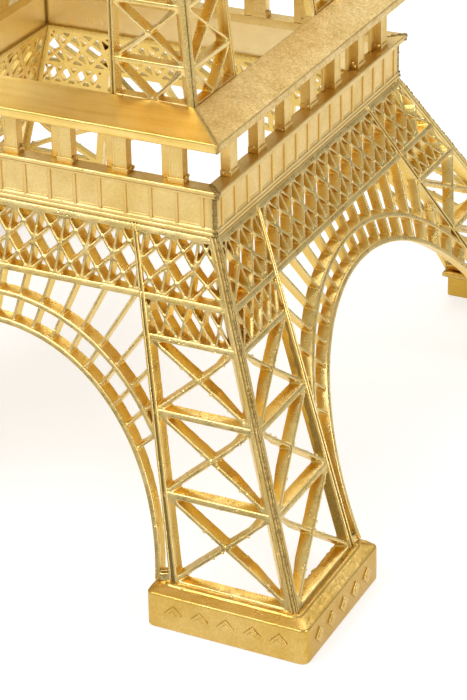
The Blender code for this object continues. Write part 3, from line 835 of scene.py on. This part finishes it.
def column(casting, size, x, rng):
    """A column with a base, a capital, raised edges and a back plate, and flash round its foot."""
    half, wide, top, shelf = size.half, size.column, size.top, size.ledge + size.thick
    deep = min(2.7, half - size.ledge_in - 0.05)
    y, middle, tall = -half + deep / 2, (shelf + top) / 2, top - shelf
    block(casting, (x, y + 0.06, middle), (wide - 0.1, deep - 0.1, tall - 0.02), 0.14, 0.1)
    for side in (-1, 1):
        block(casting, (x + side * (wide / 2 - 0.25), y, middle + 0.4), (0.5, deep, tall - 0.8), 0.14)
    # Painted shade: the base gets depth 0.3, which paints it in a deeper tone.
    block(casting, (x, y - 0.1, shelf + 0.6), (wide + 0.6, deep + 0.3, 1.3), 0.18, 0.3)
    block(casting, (x, y - 0.05, top - 0.4), (wide + 0.3, deep + 0.1, 0.7), 0.16)
    for _ in range(5):
        edge = rng.choice((-1, 1)) * (wide / 2 + 0.25)
        spot = (x + edge, -half + deep * rng.random(), shelf + 0.25 + 1.3 * rng.random())
        blob(casting, spot, 0.22 + 0.2 * rng.random(), 9 * rng.random(), (1, 1, 1.3), 0.35)
    if abs(x) > 1:
        plate_x = x - math.copysign(wide / 2 + 1.2, x)
        # Painted shade: the back plate gets depth 0.5, which paints it in a deeper tone.
        block(casting, (plate_x, -half + deep - 0.45, middle), (2.7, 0.8, tall - 0.02), 0.16, 0.5)


def roof_strip(size, seed):
    """A sloped, grainy roof strip with a fascia, dented and worn as it was filed at the corners."""
    casting = Casting()
    roof, outer, inner = size.roof, size.roof_half, size.roof_in
    slope = list(zip(spread(outer - 0.2, inner, 8), spread(roof + size.fascia, size.roof_top, 8)))
    profile = [(outer - 0.25, roof), (outer, roof + 0.45), (outer, roof + size.fascia - 0.4)] + slope
    profile += [(inner, size.roof_top - 1.5), (size.ledge_in - 0.6, roof)]

    # Painted light: the roof's underside gets depth -1, which lifts it to a bright tone.
    def painted_light_and_shade_of(out, z):
        return -1.0 if z < roof + 0.2 and out < outer - 1 else 0.0

    bar_along(casting, profile, seed, 110, 0.22, 0.04, painted_light_and_shade_of, 2)
    return casting


def corner_arc(half, radius, quarter, steps=3):
    """The points round one corner of a square loop, anticlockwise from the end of the side before it."""
    angle = quarter * math.pi / 2
    cx = math.copysign(half - radius, math.cos(angle + math.pi / 4))
    cy = math.copysign(half - radius, math.sin(angle + math.pi / 4))
    turns = [angle + i / steps * math.pi / 2 for i in range(steps + 1)]
    return [(cx + radius * math.cos(a), cy + radius * math.sin(a)) for a in turns]


def softened(loops, edge):
    """Loops with a softened change of direction: every loop is doubled a little before and after it."""
    doubled = []
    for i, (z, half, radius, depth) in enumerate(loops):
        for other in (loops[i - 1], loops[(i + 1) % len(loops)]):
            share = min(0.45, edge / max(math.dist((z, half), other[:2]), 1e-6))
            doubled.append((z + (other[0] - z) * share, half + (other[1] - half) * share,
                            radius + (other[2] - radius) * share, depth))
    return doubled


def square_ring(loops, edge, seed):
    """A casting of square loops with rounded corners, from the bottom outside over the top and down inside.

    Each loop is (z, half width, corner radius, depth), where depth is the painted shade the loop gets, 1 at
    the hidden inner edge underneath, and edge is how much of each change is softened.
    """
    loops = softened(loops, edge)
    side_steps = max(2, round(2 * loops[0][1] / 0.9))
    points, depths = [], []
    for k, (z, half, radius, depth) in enumerate(loops):
        ring = []
        for quarter in range(4):
            ring += corner_arc(half, radius, quarter)
            (x0, y0), (x1, y1) = ring[-1], corner_arc(half, radius, quarter + 1)[0]
            ring += [(x0 + (x1 - x0) * t, y0 + (y1 - y0) * t) for t in spread(0.0, 1.0, side_steps)[1:-1]]
        for x, y in ring:
            nudge = noise.noise_vector(Vector((x * 0.4, y * 0.4, k * 0.7 + seed))) * 0.03
            drop = 0.0 if k in (0, len(loops) - 1) else min(0.0, nudge.z)
            x, y = x - abs(nudge.x) * (1 if x > 0 else -1), y - abs(nudge.y) * (1 if y > 0 else -1)
            points.append((x, y, z + drop))
            depths.append(depth)
    count = len(ring)
    faces = []
    for k in range(len(loops)):
        start, after = k * count, (k + 1) % len(loops) * count
        for j in range(count):
            m = (j + 1) % count
            faces.append((start + j, start + m, after + m, after + j))
    casting = Casting()
    casting.add(points, faces, depths)
    return casting


# A foot is a stack of angle-shaped loops: (outer height, outer inset, inner height, thickness, raggedness).
FOOT_LOOPS = (
    (0.0, 0.15, 0.0, 4.2, 0), (0.25, 0.0, 0.2, 4.2, 0), (1.5, 0.0, 1.5, 4.2, 0), (3.2, 0.0, 3.2, 4.2, 0),
    (5.2, 0.0, 5.2, 4.3, 0), (7.0, 0.0, 7.3, 4.6, 0), (7.3, 0.0, 7.6, 5.4, 0), (7.6, 0.0, 7.7, 8.6, 0.4),
    (8.3, 0.0, 8.2, 8.8, 0.8), (8.55, 0.08, 8.7, 8.8, 1.0), (8.72, 0.35, 9.0, 8.75, 1.0),
    (8.85, 0.9, 9.15, 8.6, 0.8), (9.1, 1.7, 9.2, 8.4, 0.4), (9.35, 2.45, 9.2, 8.2, 0.1),
    (9.4, 2.7, 9.2, 8.0, 0), (9.38, 2.85, 9.18, 7.7, 0), (9.6, 3.0, 9.15, 7.4, 0), (9.78, 3.2, 9.1, 7.0, 0),
    (9.8, 3.5, 9.1, 6.6, 0), (9.78, 4.2, 9.1, 6.2, 0), (9.2, 4.6, 9.1, 5.8, 0))
FOOT_OUT, FOOT_WIDE, FOOT_FACE = 91.0, 39.0, 8.7


def angle_loop(near, thick):
    """The outline of a foot's two walls, inset by near, as (point, whether it is on the outside)."""
    end = FOOT_WIDE - near
    corners = [(near, near), (end, near), (end, thick), (thick, thick), (thick, end), (near, end)]
    corners = [Vector(corner) for corner in corners]
    outside = (True, True, False, False, False, True)
    reaches = (2.0, 1.8, 0.5, 0.8, 0.5, 1.8)
    splits = (40, 7, 32, 32, 7, 40)
    ring = []
    for i, here in enumerate(corners):
        after = (i + 1) % 6
        back, on = corners[i - 1] - here, corners[after] - here
        curve = corner_curve(here, back, on, reaches[i], 4)
        goal = corners[after] - on.normalized() * min(reaches[after], on.length * 0.4)
        ring += [(point, outside[i]) for point in curve]
        for step in range(1, splits[i]):
            ring.append((curve[-1].lerp(goal, step / splits[i]), outside[i] and outside[after]))
    return ring


def foot(sx, sy):
    """The outer two walls of a square foot: a sloped rim, a shelf with ragged flash, and lozenge studs."""
    casting = Casting()
    seed = 5.0 * sx + 3.0 * sy
    points, depths = [], []
    for k, (z_out, near, z_in, thick, ragged) in enumerate(FOOT_LOOPS):
        flat = []
        for (u, v), outside in angle_loop(near, thick):
            nudge = noise.noise_vector(Vector((u * 0.45 + seed, v * 0.45, k * 0.5))) * 0.06 * (k > 0)
            burr = noise.noise(Vector((u * 1.1, v * 1.1, seed))) * 0.55 * ragged
            if not outside and ragged and max(u, v) < FOOT_WIDE - 2:
                u, v = (u, v + burr) if u > v else (u + burr, v)
            u, v = u + abs(nudge.x), v + abs(nudge.y)
            flat.append((u, v))
            z = (z_out if outside else z_in) + nudge.z * (k > 1)
            points.append((sx * (FOOT_OUT - u), sy * (FOOT_OUT - v), z))
            # Painted shade: up to the shelf, the outer face that looks along x gets a deeper tone, and the
            # hidden inner faces low down the deepest.
            if outside:
                depths.append(0.72 if u < v and k < 9 else 0.0)
            else:
                depths.append(0.0 if k > 6 else 1.0)
    count, last = len(flat), (len(FOOT_LOOPS) - 1) * len(flat)
    forward = sx * sy > 0
    faces = []
    for k in range(len(FOOT_LOOPS) - 1):
        for m in range(count):
            a, b = k * count + m, k * count + (m + 1) % count
            face = (a, b, b + count, a + count)
            faces.append(face if forward else face[::-1])
    for start, outline, upwards in ((last, flat, 1), (0, [point[:2] for point in points[:count]], -1)):
        for a, b, c in filled([outline]):
            turned = area([points[start + v][:2] for v in (a, b, c)]) * upwards > 0
            faces.append(tuple(start + v for v in ((a, b, c) if turned else (a, c, b))))
    casting.add(points, faces, depths)
    add_studs(casting, sx, sy)
    return casting


def add_studs(casting, sx, sy):
    """A row of lozenge studs along both outer faces of a foot."""
    stud = Casting()
    block(stud, (0, 0.1, 0), (3.1, 0.9, 3.1), 0.28, 0.12, math.pi / 4)
    block(stud, (0, -0.2, 0), (1.7, 0.6, 1.7), 0.2, 0.12, math.pi / 4)
    centre = FOOT_OUT - FOOT_WIDE / 2
    for along in spread(-12.8, 12.8, 4):
        for x, y, turn in ((sx * centre + along, sy * FOOT_OUT, 0 if sy < 0 else math.pi),
                           (sx * FOOT_OUT, sy * centre + along, sx * math.pi / 2)):
            casting.join(stud, Matrix.Translation((x, y, FOOT_FACE / 2)) @ Matrix.Rotation(turn, 4, "Z"))


def lathe(profile, steps):
    """A closed profile of (radius, z), from the top down its outer side, turned round the axis."""
    angles = [2 * math.pi * step / steps for step in range(steps)]
    points = [(radius * math.cos(a), radius * math.sin(a), z) for radius, z in profile for a in angles]
    faces = []
    for start in range(0, (len(profile) - 1) * steps, steps):
        for step in range(steps):
            after = (step + 1) % steps
            faces.append((start + step, start + steps + step, start + steps + after, start + after))
    faces.append(tuple(range(steps)))
    faces.append(tuple(reversed(range(len(points) - steps, len(points)))))
    casting = Casting()
    casting.add(points, faces)
    return casting


def join_around(casting, extra):
    for quarter in range(4):
        casting.join(extra, Matrix.Rotation(quarter * math.pi / 2, 4, "Z"))


def collar():
    low, high = box_mm("upper_collar")
    inner, outer = upper_half(300.0) + 0.4, high.x
    return square_ring([(low.z, inner, 0.2, 1), (low.z, outer - 0.8, 0.3, 0), (low.z + 1.2, outer, 0.3, 0),
                        (high.z, outer, 0.3, 0), (high.z, inner, 0.2, 0)], 0.2, 1.0)


def platform():
    low, high = box_mm("top_platform")
    outer, floor = high.x, low.z + 3.5
    casting = square_ring([(low.z, 3.0, 0.2, 1), (low.z, 8.4, 0.3, 0), (low.z + 0.9, 9.0, 0.3, 0),
                           (low.z + 2.4, outer, 0.4, 0), (floor, outer, 0.4, 0), (floor, outer - 1.0, 0.3, 0),
                           (floor, 3.0, 0.2, 0)], 0.18, 2.0)
    rail = Casting()
    for x in spread(-outer + 0.7, outer - 0.7, 11)[:-1]:
        block(rail, (x, -outer + 0.55, floor + 0.3), (0.35, 0.35, 1.0), 0.08)
    block(rail, (0, -outer + 0.55, high.z - 0.2), (2 * outer - 0.5, 0.45, 0.4), 0.1)
    join_around(casting, rail)
    return casting


def cabin():
    low, high = box_mm("top_cabin")
    wall, eaves = 9.2, low.z + 6.2
    casting = square_ring([(low.z, 2.4, 0.2, 1), (low.z, wall, 0.3, 0), (eaves, wall, 0.3, 0),
                           (eaves, 10.2, 0.3, 0), (eaves + 1.4, 10.2, 0.3, 0), (high.z, 8.0, 0.3, 0),
                           (high.z, 2.4, 0.2, 0)], 0.15, 3.0)
    trim = Casting()
    for x in spread(-8.1, 8.1, 6):
        block(trim, (x, -wall, low.z + 3.3), (0.55, 0.4, 5.4), 0.12)
    for z, tall in ((low.z + 0.5, 0.8), (low.z + 2.3, 0.4), (low.z + 5.7, 0.6)):
        block(trim, (0, -wall, z), (17.6, 0.36, tall), 0.1)
    join_around(casting, trim)
    return casting


def dome():
    low, high = box_mm("dome")
    radius, base = high.x, low.z
    profile = [(0.4, high.z)]
    for angle in map(math.radians, range(6, 91, 6)):
        profile.append((radius * math.sin(angle), base + 3.1 + (radius - 0.02) * math.cos(angle)))
    neck = radius - 0.25
    profile += [(radius, base + 2.5), (neck, base + 2.3), (neck, base + 1.1)]
    profile += [(radius, base + 0.9), (radius, base)]
    return lathe(profile, 64)


def mast():
    low, high = box_mm("mast")
    top, base = high.z, low.z
    spike = [(0.12, top), (0.45, top - 0.5), (0.55, top - 4), (0.62, top - 8), (0.75, top - 11.8)]
    ring = [(1.3, top - 12.3), (1.5, top - 12.7), (1.5, top - 13.9), (1.3, top - 14.3), (1.05, top - 14.7)]
    pole = [(1.1, top - 22), (1.2, base + 14), (1.35, base + 9), (1.45, base + 5.2)]
    knob = [(2.1, base + 4.9), (2.6, base + 4.3), (2.6, base + 2.6), (2.2, base + 2.0), (1.9, base + 1.5),
            (2.1, base + 0.7), (2.2, base)]
    return lathe(spike + ring + pole + knob, 40)


def solder(quarter):
    """Beads along one corner: up both legs' mitres, and at the corners of the ledges and roofs."""
    place = Matrix.Rotation(quarter * math.pi / 2, 4, "Z")
    rng = np.random.default_rng(11 + quarter)
    spots = []

    def bead(half, z, radius, stretch):
        spots.append((place @ Vector((half, -half, z)), radius, stretch))

    z = 12.4
    while z < 76.0:
        bead(leg_corner(z) - 0.42 - 0.12 * rng.random(), z, 0.30 + 0.16 * rng.random(), (1, 1, 1.9))
        z += 0.5 + 0.45 * rng.random()
    z = 103.9
    while z < 171.0:
        bead(middle_corner(z) - 0.5, z, 0.30 + 0.16 * rng.random(), (1, 1, 1.8))
        z += 0.55 + 0.5 * rng.random()
    for size in GALLERIES:
        shelf = size.ledge + size.thick
        for z in np.arange(size.foot + 0.5, size.ledge - 0.4, 0.9):
            bead(size.half - 0.32, z, 0.42 + 0.12 * rng.random(), (1, 1, 1.4))
        for inwards in np.linspace(0.5, 3.6, 5):
            bead(size.ledge_half - inwards, shelf - 0.18, 0.45 + 0.3 * rng.random(), (1.2, 1.2, 0.7))
        for z in np.arange(size.ledge + 0.5, shelf - 0.3, 0.6):
            bead(size.ledge_half - 0.4, z, 0.42, (1, 1, 1.2))
        for z in np.arange(size.roof + 0.5, size.roof + size.fascia - 0.2, 0.6):
            bead(size.roof_half - 0.42, z, 0.42, (1, 1, 1.2))
    casting = Casting()
    for i, (centre, radius, stretch) in enumerate(spots):
        blob(casting, centre, radius, 0.61 * i + quarter, stretch)
    return casting


# --- Materials ----------------------------------------------------------------------------------------------

class Nodes:
    """Shorthands for building one node tree, whose textures follow one kind of coordinates."""

    def __init__(self, tree, kind="Object"):
        self.tree = tree
        self.place = tree.nodes.new("ShaderNodeTexCoord").outputs[kind]

    def fill(self, sockets, values):
        """Gives input sockets their values: a socket to link, a number, or a colour as a tuple."""
        for socket, value in zip(sockets, values):
            if isinstance(value, bpy.types.NodeSocket):
                self.tree.links.new(value, socket)
            else:
                socket.default_value = (*value, 1.0) if isinstance(value, tuple) else value

    def new(self, kind, **inputs):
        node = self.tree.nodes.new(kind)
        self.fill([node.inputs[name.replace("_", " ")] for name in inputs], inputs.values())
        return node

    def scaled(self, scale):
        """Coordinates in millimetres, times a scale that can differ between the axes."""
        mapping = self.new("ShaderNodeMapping", Vector=self.place)
        mapping.inputs["Scale"].default_value = np.ones(3) * scale / MM
        return mapping.outputs["Vector"]

    def noise(self, scale, detail=3.0, roughness=0.5, distortion=0.0):
        node = self.new("ShaderNodeTexNoise", Vector=self.scaled(scale), Scale=1.0, Detail=detail,
                        Roughness=roughness, Distortion=distortion)
        return node.outputs["Fac"]

    def ranged(self, value, from_low, from_high, to_low=0.0, to_high=1.0, smooth=False):
        node = self.new("ShaderNodeMapRange")
        if smooth:
            node.interpolation_type = "SMOOTHSTEP"
        self.fill(node.inputs, (value, from_low, from_high, to_low, to_high))
        return node.outputs[0]

    def maths(self, operation, a, b):
        node = self.new("ShaderNodeMath")
        node.operation = operation
        self.fill(node.inputs, (a, b))
        return node.outputs[0]

    def mixed(self, factor, a, b, blend="MIX"):
        node = self.new("ShaderNodeMix")
        node.data_type = "RGBA"
        node.blend_type = blend
        factor_socket, first_colour, second_colour, colour = node.inputs[0], node.inputs[6], node.inputs[7], 2
        self.fill((factor_socket, first_colour, second_colour), (factor, a, b))
        return node.outputs[colour]

    def attribute(self, name):
        node = self.new("ShaderNodeAttribute")
        node.attribute_name = name
        return node.outputs["Fac"]

    def bump(self, height, distance, strength, **below):
        """A bump whose distance is in millimetres, over the normal that is given as Normal."""
        node = self.new("ShaderNodeBump", Height=height, Strength=strength, Distance=distance * MM, **below)
        return node.outputs["Normal"]


def new_material(name):
    """A material, its shader, and shorthands for its nodes."""
    material = bpy.data.materials.new(name)
    material.use_nodes = True
    return material, material.node_tree.nodes["Principled BSDF"], Nodes(material.node_tree)


def gilt_colour(nodes, look, fine, speckle, seam):
    """Patches of tone, streaky painted reflection and speckles; then painted shade deeper inside, painted
    light on hidden inner walls, a sandy tarnish on a rough seam, and painted shade in a recess.
    """
    def share(value, amount):
        return nodes.maths("MULTIPLY", value, amount)

    depth = nodes.attribute("depth")
    patches = nodes.noise(0.09, 4.0, 0.6, 0.4)
    colour = nodes.mixed(nodes.ranged(patches, 0.35, 0.68, smooth=True), look.pale, look.mid)
    # Painted reflection: streaky lines of the deep tone along a roof.
    if look.streaks:
        lines = nodes.noise((0.03, 0.5, 0.5), 5.0, 0.7)
        streaked = share(nodes.ranged(lines, 0.42, 0.66, smooth=True), look.streaks)
        colour = nodes.mixed(streaked, colour, look.deep)
    colour = nodes.mixed(share(speckle, look.grain * 0.5), colour, look.mid, "MULTIPLY")
    # Painted shade: the deeper a point lies, the more of the deep tone it takes.
    colour = nodes.mixed(share(nodes.ranged(depth, 0.12, 0.7, smooth=True), look.inner), colour, look.deep)
    # Painted light: a depth below zero, on hidden inner walls and roof undersides, lifts the colour to a
    # bright tone.
    colour = nodes.mixed(nodes.ranged(depth, -0.9, -0.1, 0.8, 0.0), colour, PAINTED_INNER_LIGHT)
    sandy = share(nodes.ranged(seam, 0.15, 0.8), nodes.ranged(fine, 0.4, 0.58))
    colour = nodes.mixed(share(sandy, look.tarnish), colour, tuple(0.42 * c for c in look.deep))
    # Painted shade: where the seam value is over 1.2, a strip in a recess or gap is painted nearly black.
    return nodes.mixed(nodes.ranged(seam, 1.2, 2.0, 0.0, 0.85), colour, tuple(0.22 * c for c in look.deep))


def gilt_roughness(nodes, look, speckle, seam):
    """Uneven polish, duller on a seam and where it is speckled."""
    polish = nodes.ranged(nodes.noise(0.3, 3.0, 0.6), 0.32, 0.68, *look.rough)
    on_seam = nodes.maths("MULTIPLY", nodes.ranged(seam, 0.2, 0.9), 0.16)
    speckled = nodes.maths("MULTIPLY", speckle, 0.10 * look.grain)
    return nodes.maths("ADD", nodes.maths("ADD", polish, on_seam), speckled)


def gilt_relief(nodes, look, fine, seam):
    """Soft lumps, grain that is coarser on a seam, and pits in patches."""
    normal = nodes.bump(nodes.noise(0.55, 3.0, 0.55), 0.5, 0.35 * look.lumps)
    coarser = nodes.maths("ADD", 1.0, nodes.ranged(seam, 0.0, 1.0, 0.0, 2.2))
    normal = nodes.bump(nodes.maths("MULTIPLY", fine, coarser), 0.12, 0.55 * look.grain, Normal=normal)
    cells = nodes.new("ShaderNodeTexVoronoi", Vector=nodes.scaled(0.8), Scale=1.0)
    hole = nodes.ranged(cells.outputs["Distance"], 0.08, 0.26, 1.0, 0.0, True)
    pit = nodes.maths("MULTIPLY", hole, nodes.ranged(nodes.noise(0.22, 2.0), 0.5, 0.66))
    return nodes.bump(nodes.maths("MULTIPLY", pit, -1.0), 0.25, look.pits, Normal=normal)


# A bright tone painted on hidden inner walls and roof undersides, where shade falls: painted light.
PAINTED_INNER_LIGHT = (0.95, 0.79, 0.45)
# inner is how much of the deep tone, as painted shade, the deepest points get.
USUAL_GILT = dict(rough=(0.22, 0.42), grain=0.5, grain_size=2.4, pits=0.35, streaks=0.0, lumps=0.5,
                  inner=0.85, tarnish=0.65)


def gilt(name, pale, mid, deep, **differences):
    """Gold plate on a casting, in three tones, the deep one used mostly for painted shade and painted
    reflection. What isn't given is as in USUAL_GILT.
    """
    look = SimpleNamespace(pale=pale, mid=mid, deep=deep, **{**USUAL_GILT, **differences})
    material, shader, nodes = new_material(name)
    fine = nodes.noise(look.grain_size, 4.0, 0.65)
    speckle = nodes.ranged(fine, 0.36, 0.6, 1.0, 0.0)
    seam = nodes.attribute("seam")
    nodes.tree.links.new(gilt_colour(nodes, look, fine, speckle, seam), shader.inputs["Base Color"])
    nodes.tree.links.new(gilt_roughness(nodes, look, speckle, seam), shader.inputs["Roughness"])
    nodes.tree.links.new(gilt_relief(nodes, look, fine, seam), shader.inputs["Normal"])
    shader.inputs["Metallic"].default_value = 1.0
    return material


LATTICE_GILT = gilt("lattice gilt", (0.88, 0.70, 0.32), (0.84, 0.63, 0.23), (0.82, 0.57, 0.14),
                    rough=(0.20, 0.36), lumps=0.3, inner=0.8)
PALE_GILT = gilt("pale gilt", (0.78, 0.59, 0.25), (0.73, 0.53, 0.19), (0.70, 0.46, 0.12),
                 rough=(0.26, 0.44), grain=0.55, inner=0.6)
# Deeper and more saturated than the other gilt: partly the foot's own tone, partly painted shade for its
# darker look down by the floor.
FOOT_GILT = gilt("foot gilt", (0.71, 0.50, 0.16), (0.64, 0.42, 0.10), (0.56, 0.34, 0.05),
                 rough=(0.22, 0.40), grain=0.6, lumps=0.9)
# Two copies of one roof gilt: a darker, shaded copy for the right and left roofs, and a paler, lit copy with
# streaky painted reflection for the front and back.
SHADED_ROOF_GILT = gilt("shaded grained roof gilt", (0.80, 0.63, 0.30), (0.73, 0.55, 0.23), (0.62, 0.40, 0.10),
                 rough=(0.3, 0.5), grain=1.3, grain_size=1.7, pits=0.2, lumps=0.6, tarnish=0.2)
LIT_ROOF_GILT = gilt("lit roof gilt with painted reflections", (0.90, 0.69, 0.26), (0.88, 0.66, 0.22), (0.74, 0.47, 0.09),
                     rough=(0.3, 0.4), grain=0.4, grain_size=2.0, pits=0.0, streaks=0.6, lumps=0.05,
                     tarnish=0.15)
SOLDER_GILT = gilt("solder gilt", (0.62, 0.47, 0.20), (0.46, 0.32, 0.10), (0.26, 0.17, 0.05),
                   rough=(0.25, 0.45), grain=1.0)


# --- Pieces -------------------------------------------------------------------------------------------------

def place_side(name, quarter):
    """The castings of one side. Each has its own unevenness, which follows from its seed."""
    turn = quarter * math.pi / 2
    seed = 3.0 + 11.0 * quarter
    for stage, node, made in (("leg", "lower", lower_side(seed)), ("middle", "middle", middle_side(seed + 2)),
                              ("upper", "upper", upper_side(seed + 4))):
        piece(f"{stage}_casting_{name}", made.mesh(f"{stage} casting", turn), LATTICE_GILT,
              (f"{node}_side_{name}",))
    # Painted light and shade: the front and back roofs get the paler, lit copy, the right and left ones the
    # darker, shaded copy.
    roof_gilt = SHADED_ROOF_GILT if quarter % 2 else LIT_ROOF_GILT
    for size in GALLERIES:
        wall, roof = gallery_wall(size, seed + 6), roof_strip(size, seed + 8)
        wall_mesh, roof_mesh = wall.mesh("gallery casting", turn), roof.mesh("roof casting", turn)
        piece(f"{size.node}_gallery_casting_{name}", wall_mesh, PALE_GILT,
              (f"{size.node}_gallery_{name}",))
        piece(f"{size.node}_roof_casting_{name}", roof_mesh, roof_gilt,
              (f"{size.node}_roof_{name}",))


for number, (side_name, corner_name) in enumerate(zip(SIDES, CORNERS)):
    place_side(side_name, number)
    piece(f"solder_{corner_name}", solder(number).mesh("solder"), SOLDER_GILT)

for corner_name, signs in CORNERS.items():
    piece(f"foot_casting_{corner_name}", foot(*signs).mesh("foot casting"), FOOT_GILT,
          (f"foot_{corner_name}",))

TOP_PIECES = {"upper_collar": collar, "top_platform": platform, "top_cabin": cabin, "dome": dome,
              "mast": mast}
for node_name, make in TOP_PIECES.items():
    piece(f"{node_name}_casting", make().mesh(node_name), PALE_GILT, (node_name,))


# --- Floor, light and camera --------------------------------------------------------------------------------

def make_floor():
    shape = bmesh.new()
    bmesh.ops.create_circle(shape, cap_ends=True, segments=96, radius=6.0)
    mesh = bpy.data.meshes.new("floor")
    shape.to_mesh(mesh)
    shape.free()
    material, shader, nodes = new_material("pale floor")
    tone = nodes.mixed(nodes.noise(0.004, 2.0), (0.44, 0.44, 0.44), (0.48, 0.48, 0.48))
    nodes.tree.links.new(tone, shader.inputs["Base Color"])
    shader.inputs["Roughness"].default_value = 0.9
    shader.inputs["Emission Color"].default_value = (1.0, 0.995, 0.98, 1.0)
    shader.inputs["Emission Strength"].default_value = 0.66
    mesh.materials.append(material)
    floor = placed_object("floor", mesh)
    floor.location.z = cad_bounds[0][2] - 0.0002


def direction(azimuth, elevation):
    """A unit vector in degrees, where azimuth 0 is in front of the tower, and 90 to its right."""
    az, el = math.radians(azimuth), math.radians(elevation)
    return Vector((math.sin(az) * math.cos(el), -math.cos(az) * math.cos(el), math.sin(el)))


def make_light(name, azimuth, elevation, distance, size, power):
    """A soft square light, aimed at the tower's lower stage."""
    data = bpy.data.lights.new(name, "AREA")
    data.shape = "SQUARE"
    data.size = size
    data.energy = power
    light = placed_object(name, data)
    place = direction(azimuth, elevation) * distance
    light.location = place + Vector((0, 0, 0.07))
    light.rotation_euler = (-place).to_track_quat("-Z", "Y").to_euler()


def make_world():
    """A white studio with darker panels above and at the sides, which give the gold its contrast."""
    world = bpy.data.worlds.new("studio")
    world.use_nodes = True
    bpy.context.scene.world = world
    nodes = Nodes(world.node_tree, "Generated")
    height = nodes.new("ShaderNodeSeparateXYZ", Vector=nodes.place).outputs["Z"]
    ramp = nodes.new("ShaderNodeValToRGB", Fac=nodes.ranged(height, -1.0, 1.0))
    stops = ((0.0, (1, 1, 1)), (0.49, (1, 1, 1)), (0.52, (0.25, 0.23, 0.18)), (0.60, (0.35, 0.33, 0.28)),
             (0.70, (0.80, 0.78, 0.74)), (0.86, (0.62, 0.60, 0.56)), (1.0, (0.95, 0.94, 0.92)))
    while len(ramp.color_ramp.elements) < len(stops):
        ramp.color_ramp.elements.new(0.5)
    for element, (position, colour) in zip(ramp.color_ramp.elements, stops):
        element.position = position
        element.color = (*colour, 1)
    around_it = nodes.new("ShaderNodeTexNoise", Vector=nodes.place, Scale=1.7, Detail=1.0)
    dimmed = nodes.new("ShaderNodeVectorMath")
    dimmed.operation = "SCALE"
    panels = nodes.ranged(around_it.outputs["Fac"], 0.40, 0.58, 0.45, 1.2)
    nodes.fill((dimmed.inputs[0], dimmed.inputs["Scale"]), (ramp.outputs["Color"], panels))
    background = world.node_tree.nodes["Background"]
    nodes.tree.links.new(dimmed.outputs[0], background.inputs["Color"])
    background.inputs["Strength"].default_value = 0.9


def make_camera():
    data = bpy.data.cameras.new("camera")
    data.lens = 129.26
    data.sensor_width = 36.0
    data.clip_start = 0.01
    camera = placed_object("camera", data)
    azimuth, elevation, roll = 26.757, 27.895, math.radians(-1.244)
    back = direction(azimuth, elevation)
    right = direction(azimuth + 90, 0)
    up = back.cross(right)
    rolled_right = right * math.cos(roll) + up * math.sin(roll)
    rolled_up = up * math.cos(roll) - right * math.sin(roll)
    camera.matrix_world = Matrix((rolled_right, rolled_up, back)).transposed().to_4x4()
    camera.location = (0.27884, -0.49528, 0.31325)
    bpy.context.scene.camera = camera


make_floor()
make_world()
make_light("key", -35, 50, 1.2, 0.6, 7.0)
make_light("fill", 80, 35, 1.3, 0.5, 5.0)
make_light("back", 200, 55, 1.3, 0.8, 5.0)
make_camera()
bpy.context.scene.view_settings.view_transform = "Standard"
